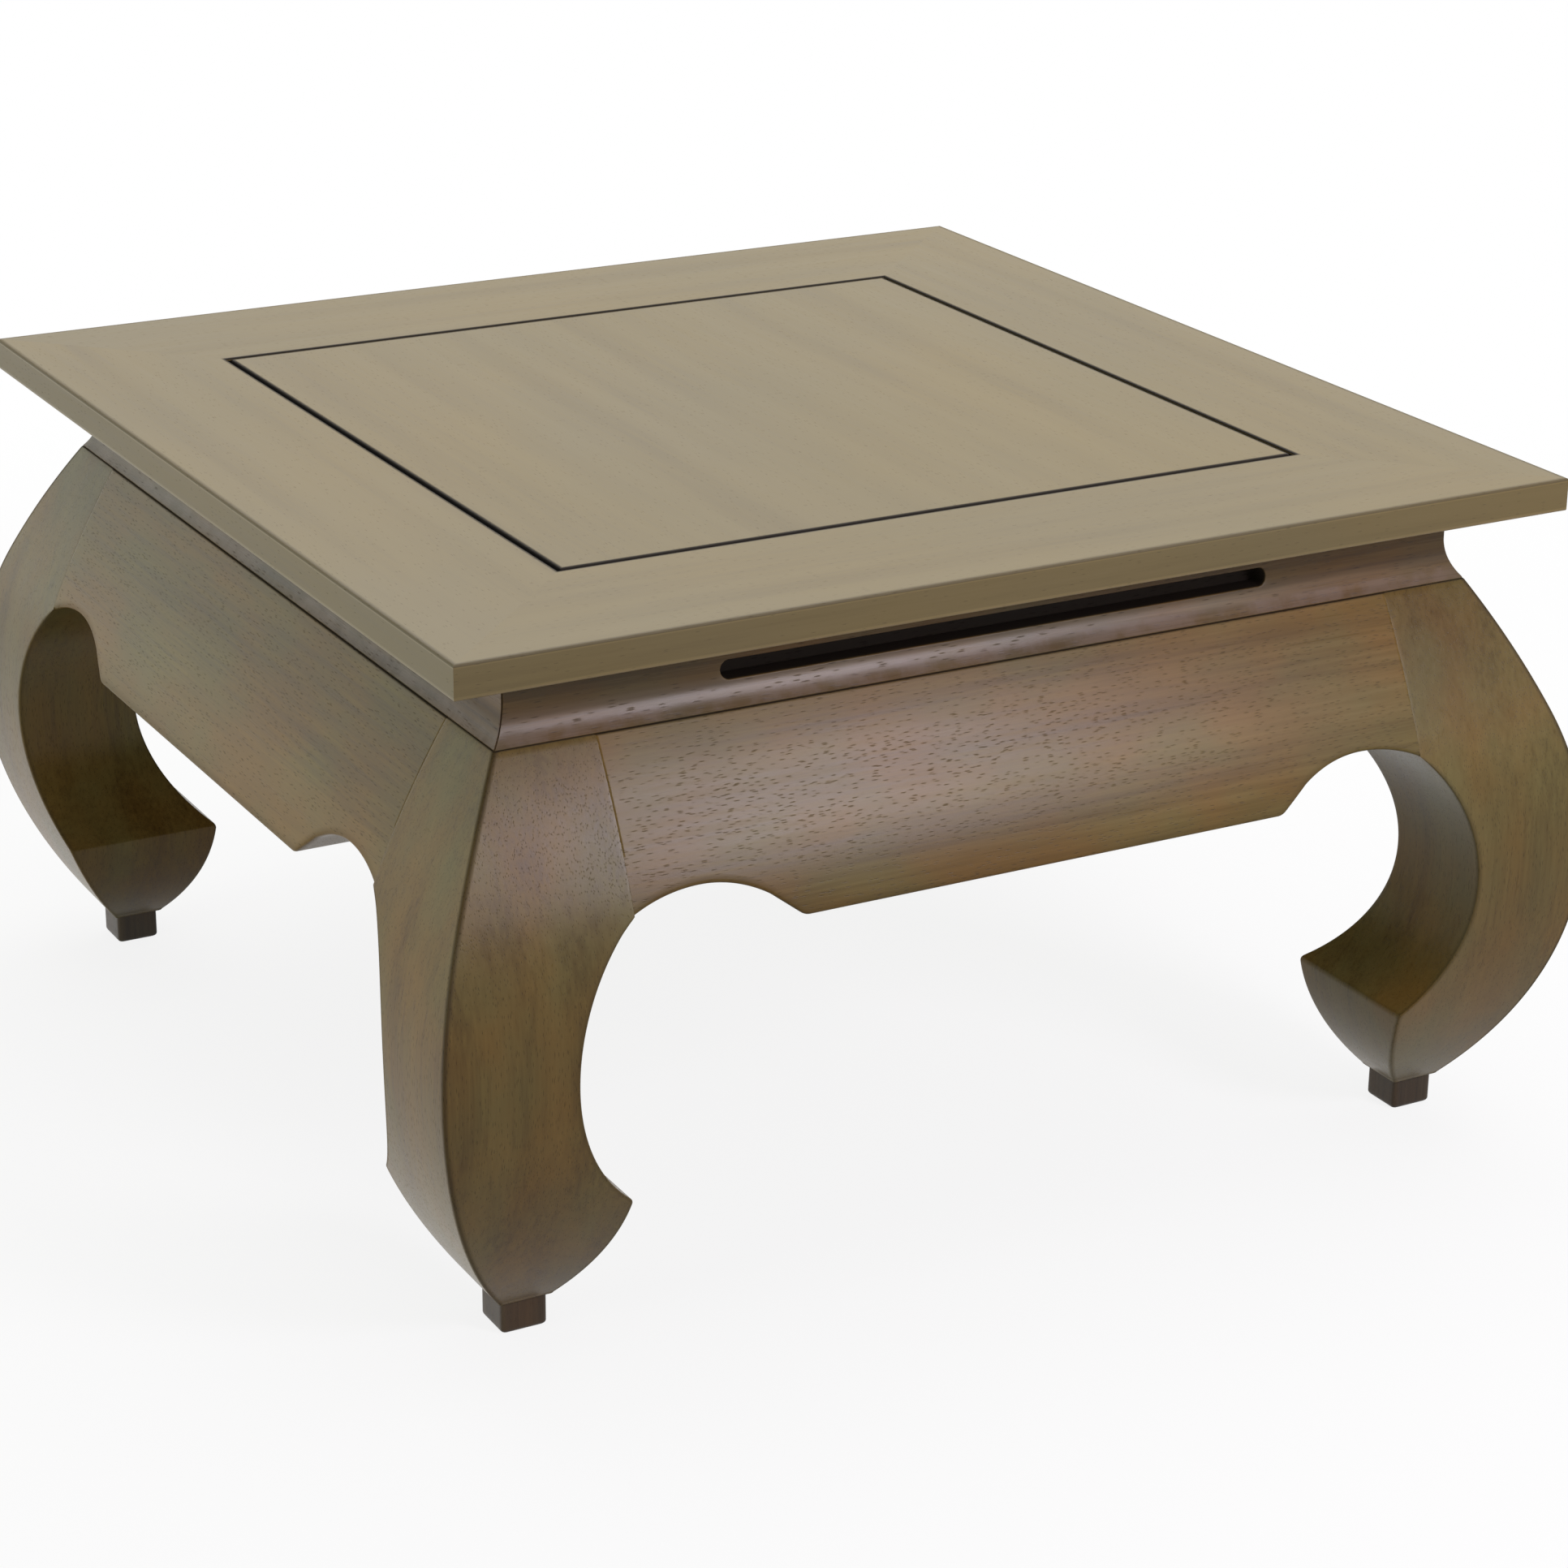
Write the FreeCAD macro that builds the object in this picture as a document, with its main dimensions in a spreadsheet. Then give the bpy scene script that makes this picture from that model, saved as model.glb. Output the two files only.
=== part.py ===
import FreeCAD, Part
import math
import operator
import os
import Sketcher

# Driving dimensions of the table, in millimetres
SIZES = {
    "table_height": 460.0,
    "top_width": 800.0,
    "top_thickness": 22.0,
    "top_overhang": 55.0,
    "frame_width": 127.0,
    "edge_round": 3.0,
    "shadow_gap": 3.5,
    "tongue_length": 11.0,
    "tongue_thickness": 6.0,
    "tongue_drop": 8.0,
    "tongue_play": 1.0,
    "spline_length": 90.0,
    "spline_width": 24.0,
    "spline_thickness": 4.0,
    "spline_rise": 3.0,
    "batten_width": 45.0,
    "batten_height": 22.0,
    "batten_inset": 120.0,
    "batten_play": 0.5,
    "dovetail_root": 22.0,
    "dovetail_width": 30.0,
    "dovetail_depth": 6.0,
    "waist_height": 53.0,
    "waist_thickness": 23.0,
    "cove_depth": 10.5,
    "cove_height": 27.0,
    "slot_margin": 145.0,
    "slot_width": 12.0,
    "slot_depth": 13.0,
    "slot_rise": 16.0,
    "waist_tenon_length": 60.0,
    "waist_tenon_thickness": 9.0,
    "waist_tenon_height": 10.0,
    "waist_tenon_inset": 39.0,
    "waist_tongue_depth": 8.0,
    "block_width": 33.0,
    "leg_stock": 133.0,
    "belly_swell": 66.5,
    "belly_lift": 5.0,
    "shoulder_swell": 45.0,
    "shoulder_drop": 85.0,
    "joint_drop": 98.7,
    "toe_height": 97.7,
    "hollow_depth": 44.0,
    "sole_radius": 130.0,
    "toe_round": 5.0,
    "ankle_reveal": 2.0,
    "arch_run": 46.0,
    "arch_rise": 9.7,
    "scallop_run": 46.0,
    "scallop_fall": 13.0,
    "ramp_run": 21.0,
    "ramp_fall": 16.0,
    "ramp_round": 10.0,
    "tenon_thickness": 14.0,
    "tenon_web": 17.0,
    "tenon_setback": 14.0,
    "tenon_shoulder": 15.0,
    "tenon_heel": 10.0,
    "pad_width": 31.0,
    "pad_height": 22.0,
    "pad_setback": 53.0,
    "pad_chamfer": 1.5,
    "stub_width": 14.0,
    "stub_height": 12.0,
    "glue_gap": 0.5,
}
SIGNS = {"+": operator.add, "-": operator.sub, "*": operator.mul, "/": operator.truediv}
SIDES = ("back", "left", "front", "right")
CORNERS = ("back_right", "back_left", "front_left", "front_right")
ENDS = (1, -1)

doc = FreeCAD.newDocument("coffee_table")
sheet = doc.addObject("Spreadsheet::Sheet", "sizes")
pieces = []


class Size:
    """A length worked out from the sheet: its formula there, and the value it has now."""

    def __init__(self, formula, value):
        self.formula = formula
        self.value = value

    def __add__(self, other):
        return joined(self, "+", other)

    def __sub__(self, other):
        return joined(self, "-", other)

    def __mul__(self, other):
        return joined(self, "*", other)

    def __truediv__(self, other):
        return joined(self, "/", other)


NOTHING = Size("0", 0.0)


def joined(left, sign, right):
    """Two lengths, or a length and a plain ratio, joined by an arithmetic sign."""
    if not isinstance(right, Size):
        right = Size(f"({right})", right)
    return Size(f"({left.formula} {sign} {right.formula})", SIGNS[sign](left.value, right.value))


def fill_sheet():
    """Writes each driving dimension in its own named cell."""
    for row, (name, value) in enumerate(SIZES.items(), start=1):
        sheet.set(f"A{row}", name)
        sheet.set(f"B{row}", str(value))
        sheet.setAlias(f"B{row}", name)
    doc.recompute()


def size(name):
    """One driving dimension."""
    return Size(f"sizes.{name}", float(sheet.get(name)))


def bind(thing, **values):
    """Ties properties of an object to lengths."""
    for name, value in values.items():
        thing.setExpression(name, value.formula)


def place(thing, x, y, z):
    """Ties an object's place to three lengths."""
    for axis, value in zip("xyz", (x, y, z)):
        thing.setExpression(f"Placement.Base.{axis}", value.formula)


def turned(x, y, quarter):
    """A place on the back side of the table, carried round by quarter turns."""
    for _ in range(quarter):
        x, y = y * -1, x
    return x, y


def keep(thing, label, quarter=0):
    """Names a finished piece and turns it to its side or corner of the table."""
    thing.Label = label
    if quarter:
        turn = FreeCAD.Rotation(FreeCAD.Vector(0, 0, 1), quarter * 90)
        thing.Placement = FreeCAD.Placement(FreeCAD.Vector(), turn)
    pieces.append(thing)


# Outlines made of corners, straight sides and arcs


def arc_centre(start, end, bend, before):
    """The centre of an arc between two corners.

    A level arc has its centre at the height of one corner, a plumb arc straight above or below it,
    a smooth arc runs on from the arc before it, and a round one has a radius of its own.
    """
    kind, choice = bend
    chord = end - start
    if kind == "round":
        middle = (start + end) * 0.5
        reach = math.sqrt(choice.value ** 2 - (chord.Length / 2) ** 2)
        return middle + FreeCAD.Vector(-chord.y, chord.x, 0).normalize() * reach
    near, far = (start, end) if choice == 0 else (end, start)
    if kind == "smooth":
        across = before - near
    elif kind == "level":
        across = FreeCAD.Vector(1, 0, 0)
    else:
        across = FreeCAD.Vector(0, 1, 0)
    across.normalize()
    chord = far - near
    return near + across * (chord.dot(chord) / (2 * across.dot(chord)))


def add_side(sketch, start, end, centre):
    """Draws one side; gives its number and which of its ends are its start and its end."""
    if centre is None:
        return sketch.addGeometry(Part.LineSegment(start, end)), 1, 2
    first, last = start - centre, end - centre
    with_clock = first.cross(last).z < 0
    if with_clock:
        first, last = last, first
    circle = Part.Circle(centre, FreeCAD.Vector(0, 0, 1), first.Length)
    arc = Part.ArcOfCircle(circle, math.atan2(first.y, first.x), math.atan2(last.y, last.x))
    number = sketch.addGeometry(arc)
    return (number, 2, 1) if with_clock else (number, 1, 2)


def tie(sketch, kind, *where, length=None):
    """Adds a constraint, held to a length where one is given."""
    if length is None:
        sketch.addConstraint(Sketcher.Constraint(kind, *where))
        return
    number = sketch.addConstraint(Sketcher.Constraint(kind, *where, length.value))
    sketch.setExpression(f"Constraints[{number}]", length.formula)


def outline(sketch, corners, bends):
    """A closed outline through the corners; a bend makes an arc of the side that leaves its corner."""
    spots = [FreeCAD.Vector(x.value, y.value, 0) for x, y, _ in corners]
    sides = []
    centre = None
    for index, (_, _, name) in enumerate(corners):
        start = spots[index]
        end = spots[(index + 1) % len(spots)]
        bend = bends.get(name)
        centre = arc_centre(start, end, bend, centre) if bend else None
        sides.append(add_side(sketch, start, end, centre))
    for index, (x, y, name) in enumerate(corners):
        number, first, last = sides[index]
        before, _, joint = sides[index - 1]
        bend = bends.get(name)
        smooth = bend is not None and bend[0] == "smooth"
        tie(sketch, "Tangent" if smooth else "Coincident", before, joint, number, first)
        for kind, value in (("DistanceX", x), ("DistanceY", y)):
            if value is NOTHING:
                tie(sketch, "PointOnObject", number, first, -2 if kind == "DistanceX" else -1)
            else:
                tie(sketch, kind, -1, 1, number, first, length=value)
        if bend is None or smooth:
            continue
        kind, choice = bend
        if kind == "round":
            tie(sketch, "Radius", number, length=choice)
        else:
            corner = first if choice == 0 else last
            tie(sketch, "Horizontal" if kind == "level" else "Vertical", number, 3, number, corner)


# Bodies sawn from an outline


def new_body(name):
    """An empty body."""
    return doc.addObject("PartDesign::Body", name)


def new_sketch(body, role):
    """An empty sketch on one of the body's own planes."""
    plane = next(feature for feature in body.Origin.OriginFeatures if feature.Role == role)
    sketch = body.newObject("Sketcher::SketchObject", "outline")
    sketch.AttachmentSupport = (plane, [""])
    sketch.MapMode = "FlatFace"
    return sketch


def pad_of(body, role, corners, bends, length, both_ways=False):
    """A pad of an outline; an outline on the upright front plane is padded towards the back."""
    sketch = new_sketch(body, role)
    outline(sketch, corners, bends)
    pad = body.newObject("PartDesign::Pad", "pad")
    pad.Profile = sketch
    bind(pad, Length=length)
    pad.Reversed = role == "XZ_Plane"
    if both_ways:
        pad.SideType = "Symmetric"
    doc.recompute()
    return pad


def softened(body, base, edges, kind, **value):
    """Rounds or chamfers the edges that pass through the given points."""
    doc.recompute()
    names = []
    for point in edges:
        spot = Part.Vertex(FreeCAD.Vector(*(part.value for part in point)))
        gaps = [edge.distToShape(spot)[0] for edge in base.Shape.Edges]
        names.append(f"Edge{gaps.index(min(gaps)) + 1}")
    finish = body.newObject(kind, "softened")
    finish.Base = (base, names)
    bind(finish, **value)
    return finish


def mirrored(body, features):
    """The second half of a body, across the plane through its middle."""
    mirror = body.newObject("PartDesign::Mirrored", "mirrored")
    mirror.Originals = features
    mirror.MirrorPlane = (features[0].Profile[0], ["V_Axis"])
    body.Tip = mirror
    doc.recompute()


def crossed(name, first, second):
    """What two bodies have in common: a piece sawn to one outline and then to another."""
    common = doc.addObject("Part::Common", name)
    common.Base = first
    common.Tool = second
    return common


def box(name, low, spans):
    """A plain block from its lowest corner and its three lengths."""
    block = doc.addObject("Part::Box", name)
    bind(block, Length=spans[0], Width=spans[1], Height=spans[2])
    place(block, *low)
    return block


def group(name, members):
    """Separate solids kept together."""
    together = doc.addObject("Part::Compound", name)
    together.Links = members
    return together


def fused(name, members):
    """Solids made in one piece."""
    whole = doc.addObject("Part::MultiFuse", name)
    whole.Shapes = members
    return whole


def cut(name, base, tools):
    """A piece with mortises, grooves or slots taken out of it."""
    piece = doc.addObject("Part::Cut", name)
    piece.Base = base
    piece.Tool = group(f"{name}_tools", tools)
    return piece


fill_sheet()

# Levels, from the floor up
height = size("table_height")
top_under = height - size("top_thickness")
leg_top = top_under - size("waist_height")
toe_level = size("toe_height")
joint_level = leg_top - size("joint_drop")
hollow_level = (toe_level + joint_level) / 2
belly_level = hollow_level + size("belly_lift")
shoulder_level = leg_top - size("shoulder_drop")
peak_level = joint_level + size("arch_rise")
ramp_head_level = peak_level - size("scallop_fall")
apron_under = ramp_head_level - size("ramp_fall")
ankle_level = size("pad_height")
tongue_level = height - size("tongue_drop") - size("tongue_thickness")
batten_under = top_under - size("batten_height")
dovetail_top = top_under + size("dovetail_depth")
mortise_low = peak_level + size("tenon_heel")
mortise_height = leg_top - size("tenon_shoulder") - mortise_low

# Reaches, from the middle of the table outwards
top_reach = size("top_width") / 2
frame_inner = top_reach - size("frame_width")
panel_reach = frame_inner - size("shadow_gap")
tongue_reach = panel_reach + size("tongue_length")
groove_reach = tongue_reach + size("tongue_play")
batten_middle = panel_reach - size("batten_inset")
waist_reach = top_reach - size("top_overhang")
waist_inner = waist_reach - size("waist_thickness")
waist_middle = waist_reach - size("waist_thickness") / 2
slot_reach = waist_reach - size("slot_margin")
edge_reach = waist_reach + size("cove_depth")
shoulder_reach = edge_reach + size("shoulder_swell")
belly_reach = edge_reach + size("belly_swell")
leg_inner = belly_reach - size("leg_stock")
hollow_reach = leg_inner + size("hollow_depth")
waist_tenon_reach = leg_inner - size("waist_tenon_inset")
tenon_side = waist_inner + size("tenon_setback")
tenon_tip = tenon_side - size("tenon_web")
pad_middle = leg_inner + size("pad_setback")
pad_inner = pad_middle - size("pad_width") / 2
pad_outer = pad_inner + size("pad_width")
ankle_inner = pad_inner - size("ankle_reveal")
ankle_outer = pad_outer + size("ankle_reveal")
peak_reach = leg_inner - size("arch_run")
ramp_head_reach = peak_reach - size("scallop_run")
ramp_foot_reach = ramp_head_reach - size("ramp_run")
block_inner = waist_inner - size("block_width")
block_middle = waist_inner - size("block_width") / 2

# The bulging outer line that legs and aprons share, from the belly up to the waist
outer_corners = [
    (belly_reach, belly_level, "belly"),
    (shoulder_reach, shoulder_level, "shoulder"),
    (edge_reach, leg_top, "edge"),
]
outer_bends = {"belly": ("level", 0), "shoulder": ("smooth", 0)}


def mitred(name, inner, outer, top, section_corners, section_bends):
    """A board of the back side with mitred ends: its plan, crossed with its section."""
    plan = new_body(f"{name}_plan")
    corners = [
        (NOTHING, inner, "inner_middle"),
        (inner, inner, "inner_end"),
        (outer, outer, "outer_end"),
        (NOTHING, outer, "outer_middle"),
    ]
    mirrored(plan, [pad_of(plan, "XY_Plane", corners, {}, top)])
    section = new_body(f"{name}_section")
    pad_of(section, "YZ_Plane", section_corners, section_bends, outer * 2, both_ways=True)
    return crossed(f"{name}_board", plan, section)


# Joints: each shape serves as a tenon, and with room for glue at its end as the mortise


def waist_tenon(end, ease):
    """The stub tenon near one end of the top edge of the back waist board."""
    length = size("waist_tenon_length")
    thickness = size("waist_tenon_thickness")
    low = (waist_tenon_reach * end - length / 2, waist_middle - thickness / 2, top_under)
    return box("waist_tenon", low, (length, thickness, size("waist_tenon_height") + ease))


def waist_tongue(ease):
    """The tongue along the foot of the back waist board, which sits in the apron."""
    thickness = size("waist_tenon_thickness")
    depth = size("waist_tongue_depth") + ease
    low = (waist_tenon_reach * -1, waist_middle - thickness / 2, leg_top - depth)
    return box("waist_tongue", low, (waist_tenon_reach * 2, thickness, depth))


def apron_tenon(first, ease, swapped=False):
    """The tenon on an end of the back apron; swapped, the one on the back end of the right apron."""
    low = [first, tenon_side, mortise_low]
    spans = [tenon_tip - leg_inner + ease, size("tenon_thickness"), mortise_height]
    if swapped:
        low[:2] = low[1::-1]
        spans[:2] = spans[1::-1]
    return box("apron_tenon", low, spans)


def stub(middle, level, ease):
    """A square stub tenon that stands up past a joint in the back right corner."""
    width = size("stub_width")
    first = middle - width / 2
    return box("stub", (first, first, level), (width, width, size("stub_height") + ease))


def spline(ease, quarter):
    """The loose tongue across a mitre of the top frame."""
    length = size("spline_length") + ease
    width = size("spline_width") + ease
    middle = (frame_inner + top_reach) / 2
    x = middle - (length - width) / 2 / math.sqrt(2)
    y = middle - (length + width) / 2 / math.sqrt(2)
    block = doc.addObject("Part::Box", "spline")
    bind(block, Length=length, Width=width, Height=size("spline_thickness"))
    turn = FreeCAD.Rotation(FreeCAD.Vector(0, 0, 1), 45 + 90 * quarter)
    block.Placement = FreeCAD.Placement(FreeCAD.Vector(), turn)
    place(block, *turned(x, y, quarter), top_under + size("spline_rise"))
    return block


# Table top: a mitred frame with a floating panel, kept flat by two dovetailed battens


def frame_board(side, quarter):
    """One member of the top frame, grooved for the panel and slotted at its mitres."""
    rounding = size("edge_round")
    tongue_top = tongue_level + size("tongue_thickness")
    corners = [
        (frame_inner, top_under, "inner_under"),
        (top_reach - rounding, top_under, "under_round"),
        (top_reach, top_under + rounding, "outer_under"),
        (top_reach, height - rounding, "outer_round"),
        (top_reach - rounding, height, "outer_top"),
        (frame_inner, height, "inner_top"),
        (frame_inner, tongue_top, "groove_mouth_top"),
        (groove_reach, tongue_top, "groove_top"),
        (groove_reach, tongue_level, "groove_under"),
        (frame_inner, tongue_level, "groove_mouth_under"),
    ]
    bends = {"under_round": ("plumb", 0), "outer_round": ("level", 0)}
    board = mitred(f"frame_{side}", frame_inner, top_reach, height, corners, bends)
    slots = [spline(size("glue_gap"), corner) for corner in (0, 1)]
    mortises = [waist_tenon(end, size("glue_gap")) for end in ENDS]
    keep(cut(f"frame_{side}_jointed", board, slots + mortises), f"top_frame_{side}", quarter)


def dovetailed(name, corners, end):
    """A pad across the table, of a section that is the same on both sides of a batten's middle."""
    body = new_body(name)
    mirrored(body, [pad_of(body, "YZ_Plane", corners, {}, top_reach * 2, both_ways=True)])
    place(body, NOTHING, batten_middle * end, NOTHING)
    return body


dovetail_sides = [
    (size("dovetail_root") / 2, top_under, "dovetail_root"),
    (size("dovetail_width") / 2, dovetail_top, "dovetail_side"),
    (NOTHING, dovetail_top, "dovetail_top"),
]


def panel():
    """The square panel, with a thinner tongue all round that floats in the frame's groove."""
    field = box(
        "panel_field",
        (panel_reach * -1, panel_reach * -1, top_under),
        (panel_reach * 2, panel_reach * 2, size("top_thickness")),
    )
    tongue = box(
        "panel_tongue",
        (tongue_reach * -1, tongue_reach * -1, tongue_level),
        (tongue_reach * 2, tongue_reach * 2, size("tongue_thickness")),
    )
    corners = [(NOTHING, top_under, "middle_under"), *dovetail_sides]
    housings = [dovetailed("dovetail_housing", corners, end) for end in ENDS]
    keep(cut("panel_housed", fused("panel_blank", [field, tongue]), housings), "top_panel")


def batten(side, end):
    """A batten across the boards of the panel, with a dovetail along its top that runs in them."""
    reach = waist_inner - size("batten_play")
    half = size("batten_width") / 2
    corners = [
        (NOTHING, batten_under, "middle_under"),
        (half, batten_under, "side_under"),
        (half, top_under, "shoulder"),
        *dovetail_sides,
    ]
    section = dovetailed(f"batten_{side}_section", corners, end)
    low = batten_middle * end - half
    bar = box(
        f"batten_{side}_bar",
        (reach * -1, low, batten_under),
        (reach * 2, size("batten_width"), size("batten_height")),
    )
    rail = box(
        f"batten_{side}_rail",
        (panel_reach * -1, low, batten_under),
        (panel_reach * 2, size("batten_width"), dovetail_top - batten_under),
    )
    sawn = crossed(f"batten_{side}_sawn", section, fused(f"batten_{side}_blank", [bar, rail]))
    keep(sawn, f"panel_batten_{side}")


# Waist: four coved boards with mitred corners and a long blind slot each, and a post in each corner


def waist_slot(name):
    """The long round-ended slot in the face of a waist board, which stops short of its back."""
    round_end = size("slot_width") / 2
    low = leg_top + size("slot_rise")
    corners = [
        (NOTHING, low, "low_middle"),
        (slot_reach - round_end, low, "low_end"),
        (slot_reach, low + round_end, "end"),
        (slot_reach - round_end, low + size("slot_width"), "high_end"),
        (NOTHING, low + size("slot_width"), "high_middle"),
    ]
    bends = {"low_end": ("level", 1), "end": ("level", 0)}
    body = new_body(name)
    mirrored(body, [pad_of(body, "XZ_Plane", corners, bends, size("slot_depth") + size("cove_depth"))])
    place(body, NOTHING, waist_reach - size("slot_depth"), NOTHING)
    return body


def waist_board(side, quarter):
    """One waist board, coved out at its foot to meet the apron."""
    corners = [
        (waist_inner, leg_top, "inner_foot"),
        (edge_reach, leg_top, "cove_foot"),
        (waist_reach, leg_top + size("cove_height"), "cove_head"),
        (waist_reach, top_under, "outer_top"),
        (waist_inner, top_under, "inner_top"),
    ]
    bends = {"cove_foot": ("level", 1)}
    board = mitred(f"waist_{side}", waist_inner, edge_reach, top_under, corners, bends)
    tenons = [waist_tenon(end, NOTHING) for end in ENDS]
    blank = fused(f"waist_{side}_blank", [board, *tenons, waist_tongue(NOTHING)])
    slot = waist_slot(f"waist_{side}_slot")
    keep(cut(f"waist_{side}_slotted", blank, [slot]), f"waist_{side}", quarter)


def corner_block(corner, quarter):
    """A post glued into a corner of the waist, on the tenon of the leg's head."""
    width = size("block_width")
    low = (block_inner, block_inner, leg_top)
    blank = box(f"block_{corner}", low, (width, width, size("waist_height")))
    mortise = stub(block_middle, leg_top, size("glue_gap"))
    keep(cut(f"block_{corner}_mortised", blank, [mortise]), f"corner_block_{corner}", quarter)


# Base: bulging aprons between legs sawn from square stock


def apron(side, quarter):
    """One apron: its scalloped and arched outline, crossed with its bulging section."""
    corners = [
        (NOTHING, apron_under, "middle_under"),
        (ramp_foot_reach, apron_under, "ramp_foot"),
        (ramp_head_reach, ramp_head_level, "ramp_head"),
        (peak_reach, peak_level, "peak"),
        (leg_inner, joint_level, "joint"),
        (leg_inner, leg_top, "top_end"),
        (NOTHING, leg_top, "middle_top"),
    ]
    front = new_body(f"apron_{side}_front")
    bends = {"ramp_head": ("plumb", 1), "peak": ("plumb", 0)}
    mirrored(front, [pad_of(front, "XZ_Plane", corners, bends, belly_reach)])
    feet = [(ramp_foot_reach * end, belly_reach / 2, apron_under) for end in ENDS]
    softened(front, front.Tip, feet, "PartDesign::Fillet", Radius=size("ramp_round"))
    section_corners = [
        (waist_inner, belly_level, "inner_under"),
        *outer_corners,
        (waist_inner, leg_top, "inner_top"),
    ]
    section = new_body(f"apron_{side}_section")
    pad_of(section, "YZ_Plane", section_corners, outer_bends, leg_inner * 2, both_ways=True)
    board = crossed(f"apron_{side}_board", front, section)
    tenons = [apron_tenon(first, NOTHING) for first in (leg_inner, tenon_tip * -1)]
    blank = fused(f"apron_{side}_blank", [board, *tenons])
    groove = waist_tongue(size("glue_gap"))
    keep(cut(f"apron_{side}_grooved", blank, [groove]), f"apron_{side}", quarter)


def leg(corner, quarter):
    """One leg: the same hoof-footed outline sawn from the front and from the side."""
    corners = [
        (ankle_inner, ankle_level, "ankle_inner"),
        (ankle_outer, ankle_level, "ankle"),
        *outer_corners,
        (leg_inner, leg_top, "top_inner"),
        (leg_inner, joint_level, "joint"),
        (hollow_reach, hollow_level, "hollow"),
        (leg_inner, toe_level, "toe"),
    ]
    bends = {
        **outer_bends,
        "ankle": ("level", 1),
        "joint": ("level", 1),
        "hollow": ("level", 0),
        "toe": ("round", size("sole_radius")),
    }
    halfway = belly_reach / 2
    cuts = {
        "front": ("XZ_Plane", (leg_inner, halfway, toe_level)),
        "side": ("YZ_Plane", (halfway, leg_inner, toe_level)),
    }
    sawn = []
    for view, (plane, toe) in cuts.items():
        body = new_body(f"leg_{corner}_{view}")
        pad = pad_of(body, plane, corners, bends, belly_reach)
        softened(body, pad, [toe], "PartDesign::Fillet", Radius=size("toe_round"))
        sawn.append(body)
    shaft = crossed(f"leg_{corner}_sawn", *sawn)
    blank = fused(f"leg_{corner}_blank", [shaft, stub(block_middle, leg_top, NOTHING)])
    mortises = [apron_tenon(leg_inner, size("glue_gap"), swapped) for swapped in (False, True)]
    mortises.append(stub(pad_middle, ankle_level, size("glue_gap")))
    keep(cut(f"leg_{corner}_mortised", blank, mortises), f"leg_{corner}", quarter)


def foot_pad(corner, quarter):
    """The small dark block under a hoof, eased round its lower edge, with a stub into the leg."""
    corners = [
        (pad_inner, pad_inner, "first"),
        (pad_outer, pad_inner, "second"),
        (pad_outer, pad_outer, "third"),
        (pad_inner, pad_outer, "fourth"),
    ]
    body = new_body(f"pad_{corner}")
    pad = pad_of(body, "XY_Plane", corners, {}, size("pad_height"))
    edges = [(pad_middle, reach, NOTHING) for reach in (pad_inner, pad_outer)]
    edges += [(reach, pad_middle, NOTHING) for reach in (pad_inner, pad_outer)]
    softened(body, pad, edges, "PartDesign::Chamfer", Size=size("pad_chamfer"))
    tenon = stub(pad_middle, ankle_level, NOTHING)
    keep(fused(f"pad_{corner}_stubbed", [body, tenon]), f"foot_pad_{corner}", quarter)


for quarter, side in enumerate(SIDES):
    frame_board(side, quarter)
    waist_board(side, quarter)
    apron(side, quarter)
for quarter, corner in enumerate(CORNERS):
    leg(corner, quarter)
    foot_pad(corner, quarter)
    corner_block(corner, quarter)
panel()
batten("front", -1)
batten("back", 1)
splines = [spline(NOTHING, quarter) for quarter in range(len(CORNERS))]
keep(group("splines", splines), "mitre_splines")
doc.recompute()

# Every object is sound before any file is written
for thing in doc.Objects:
    if "Invalid" in thing.State or "Error" in thing.State:
        raise RuntimeError(f"{thing.Label} failed: {thing.State}")
for piece in pieces:
    if piece.Shape.isNull() or not piece.Shape.isValid():
        raise RuntimeError(f"{piece.Label} has no sound shape")
os.makedirs("parts", exist_ok=True)
for piece in pieces:
    piece.Shape.exportStep(f"parts/{piece.Label}.step")
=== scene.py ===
import logging
import math
from dataclasses import dataclass
from enum import Enum
from typing import Any, Callable, Sequence

import bmesh
import bpy
import numpy as np
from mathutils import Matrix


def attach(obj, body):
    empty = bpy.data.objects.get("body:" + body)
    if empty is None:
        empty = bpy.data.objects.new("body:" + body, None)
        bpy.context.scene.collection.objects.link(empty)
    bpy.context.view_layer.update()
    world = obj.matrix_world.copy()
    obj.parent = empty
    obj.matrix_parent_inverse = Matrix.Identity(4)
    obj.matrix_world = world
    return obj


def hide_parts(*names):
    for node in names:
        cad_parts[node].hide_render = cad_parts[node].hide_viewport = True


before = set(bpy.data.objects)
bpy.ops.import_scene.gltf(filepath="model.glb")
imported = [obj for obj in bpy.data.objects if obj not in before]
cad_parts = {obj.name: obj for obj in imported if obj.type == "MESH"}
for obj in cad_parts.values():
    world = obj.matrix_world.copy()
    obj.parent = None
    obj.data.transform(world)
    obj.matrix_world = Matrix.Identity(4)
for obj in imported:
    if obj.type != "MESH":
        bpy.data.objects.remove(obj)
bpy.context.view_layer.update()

LOG = logging.getLogger("coffee_table")
MM = 0.001
BODY = "root"
EDGE = "edge"
SHARP_ANGLE = math.radians(42)
DOUBLES = 0.002 * MM
QUARTER = math.pi / 2
# Edge mark of a groove's walls: near-black painted shade.
PAINTED_GROOVE_SHADE = -1.0
WHITE = (1.0, 1.0, 1.0, 1.0)
VALUE = "NodeSocketFloat"
VECTOR = "NodeSocketVector"
GEOMETRY = "NodeSocketGeometry"

Socket = bpy.types.NodeSocket
Point = tuple[float, float]
Place = tuple[float, float, float]
Spot = Point | np.ndarray
Colour = tuple[int, int, int]
Cuts = Callable[[float, float, float], np.ndarray]
Woods = dict[str, bpy.types.Material]


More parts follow.
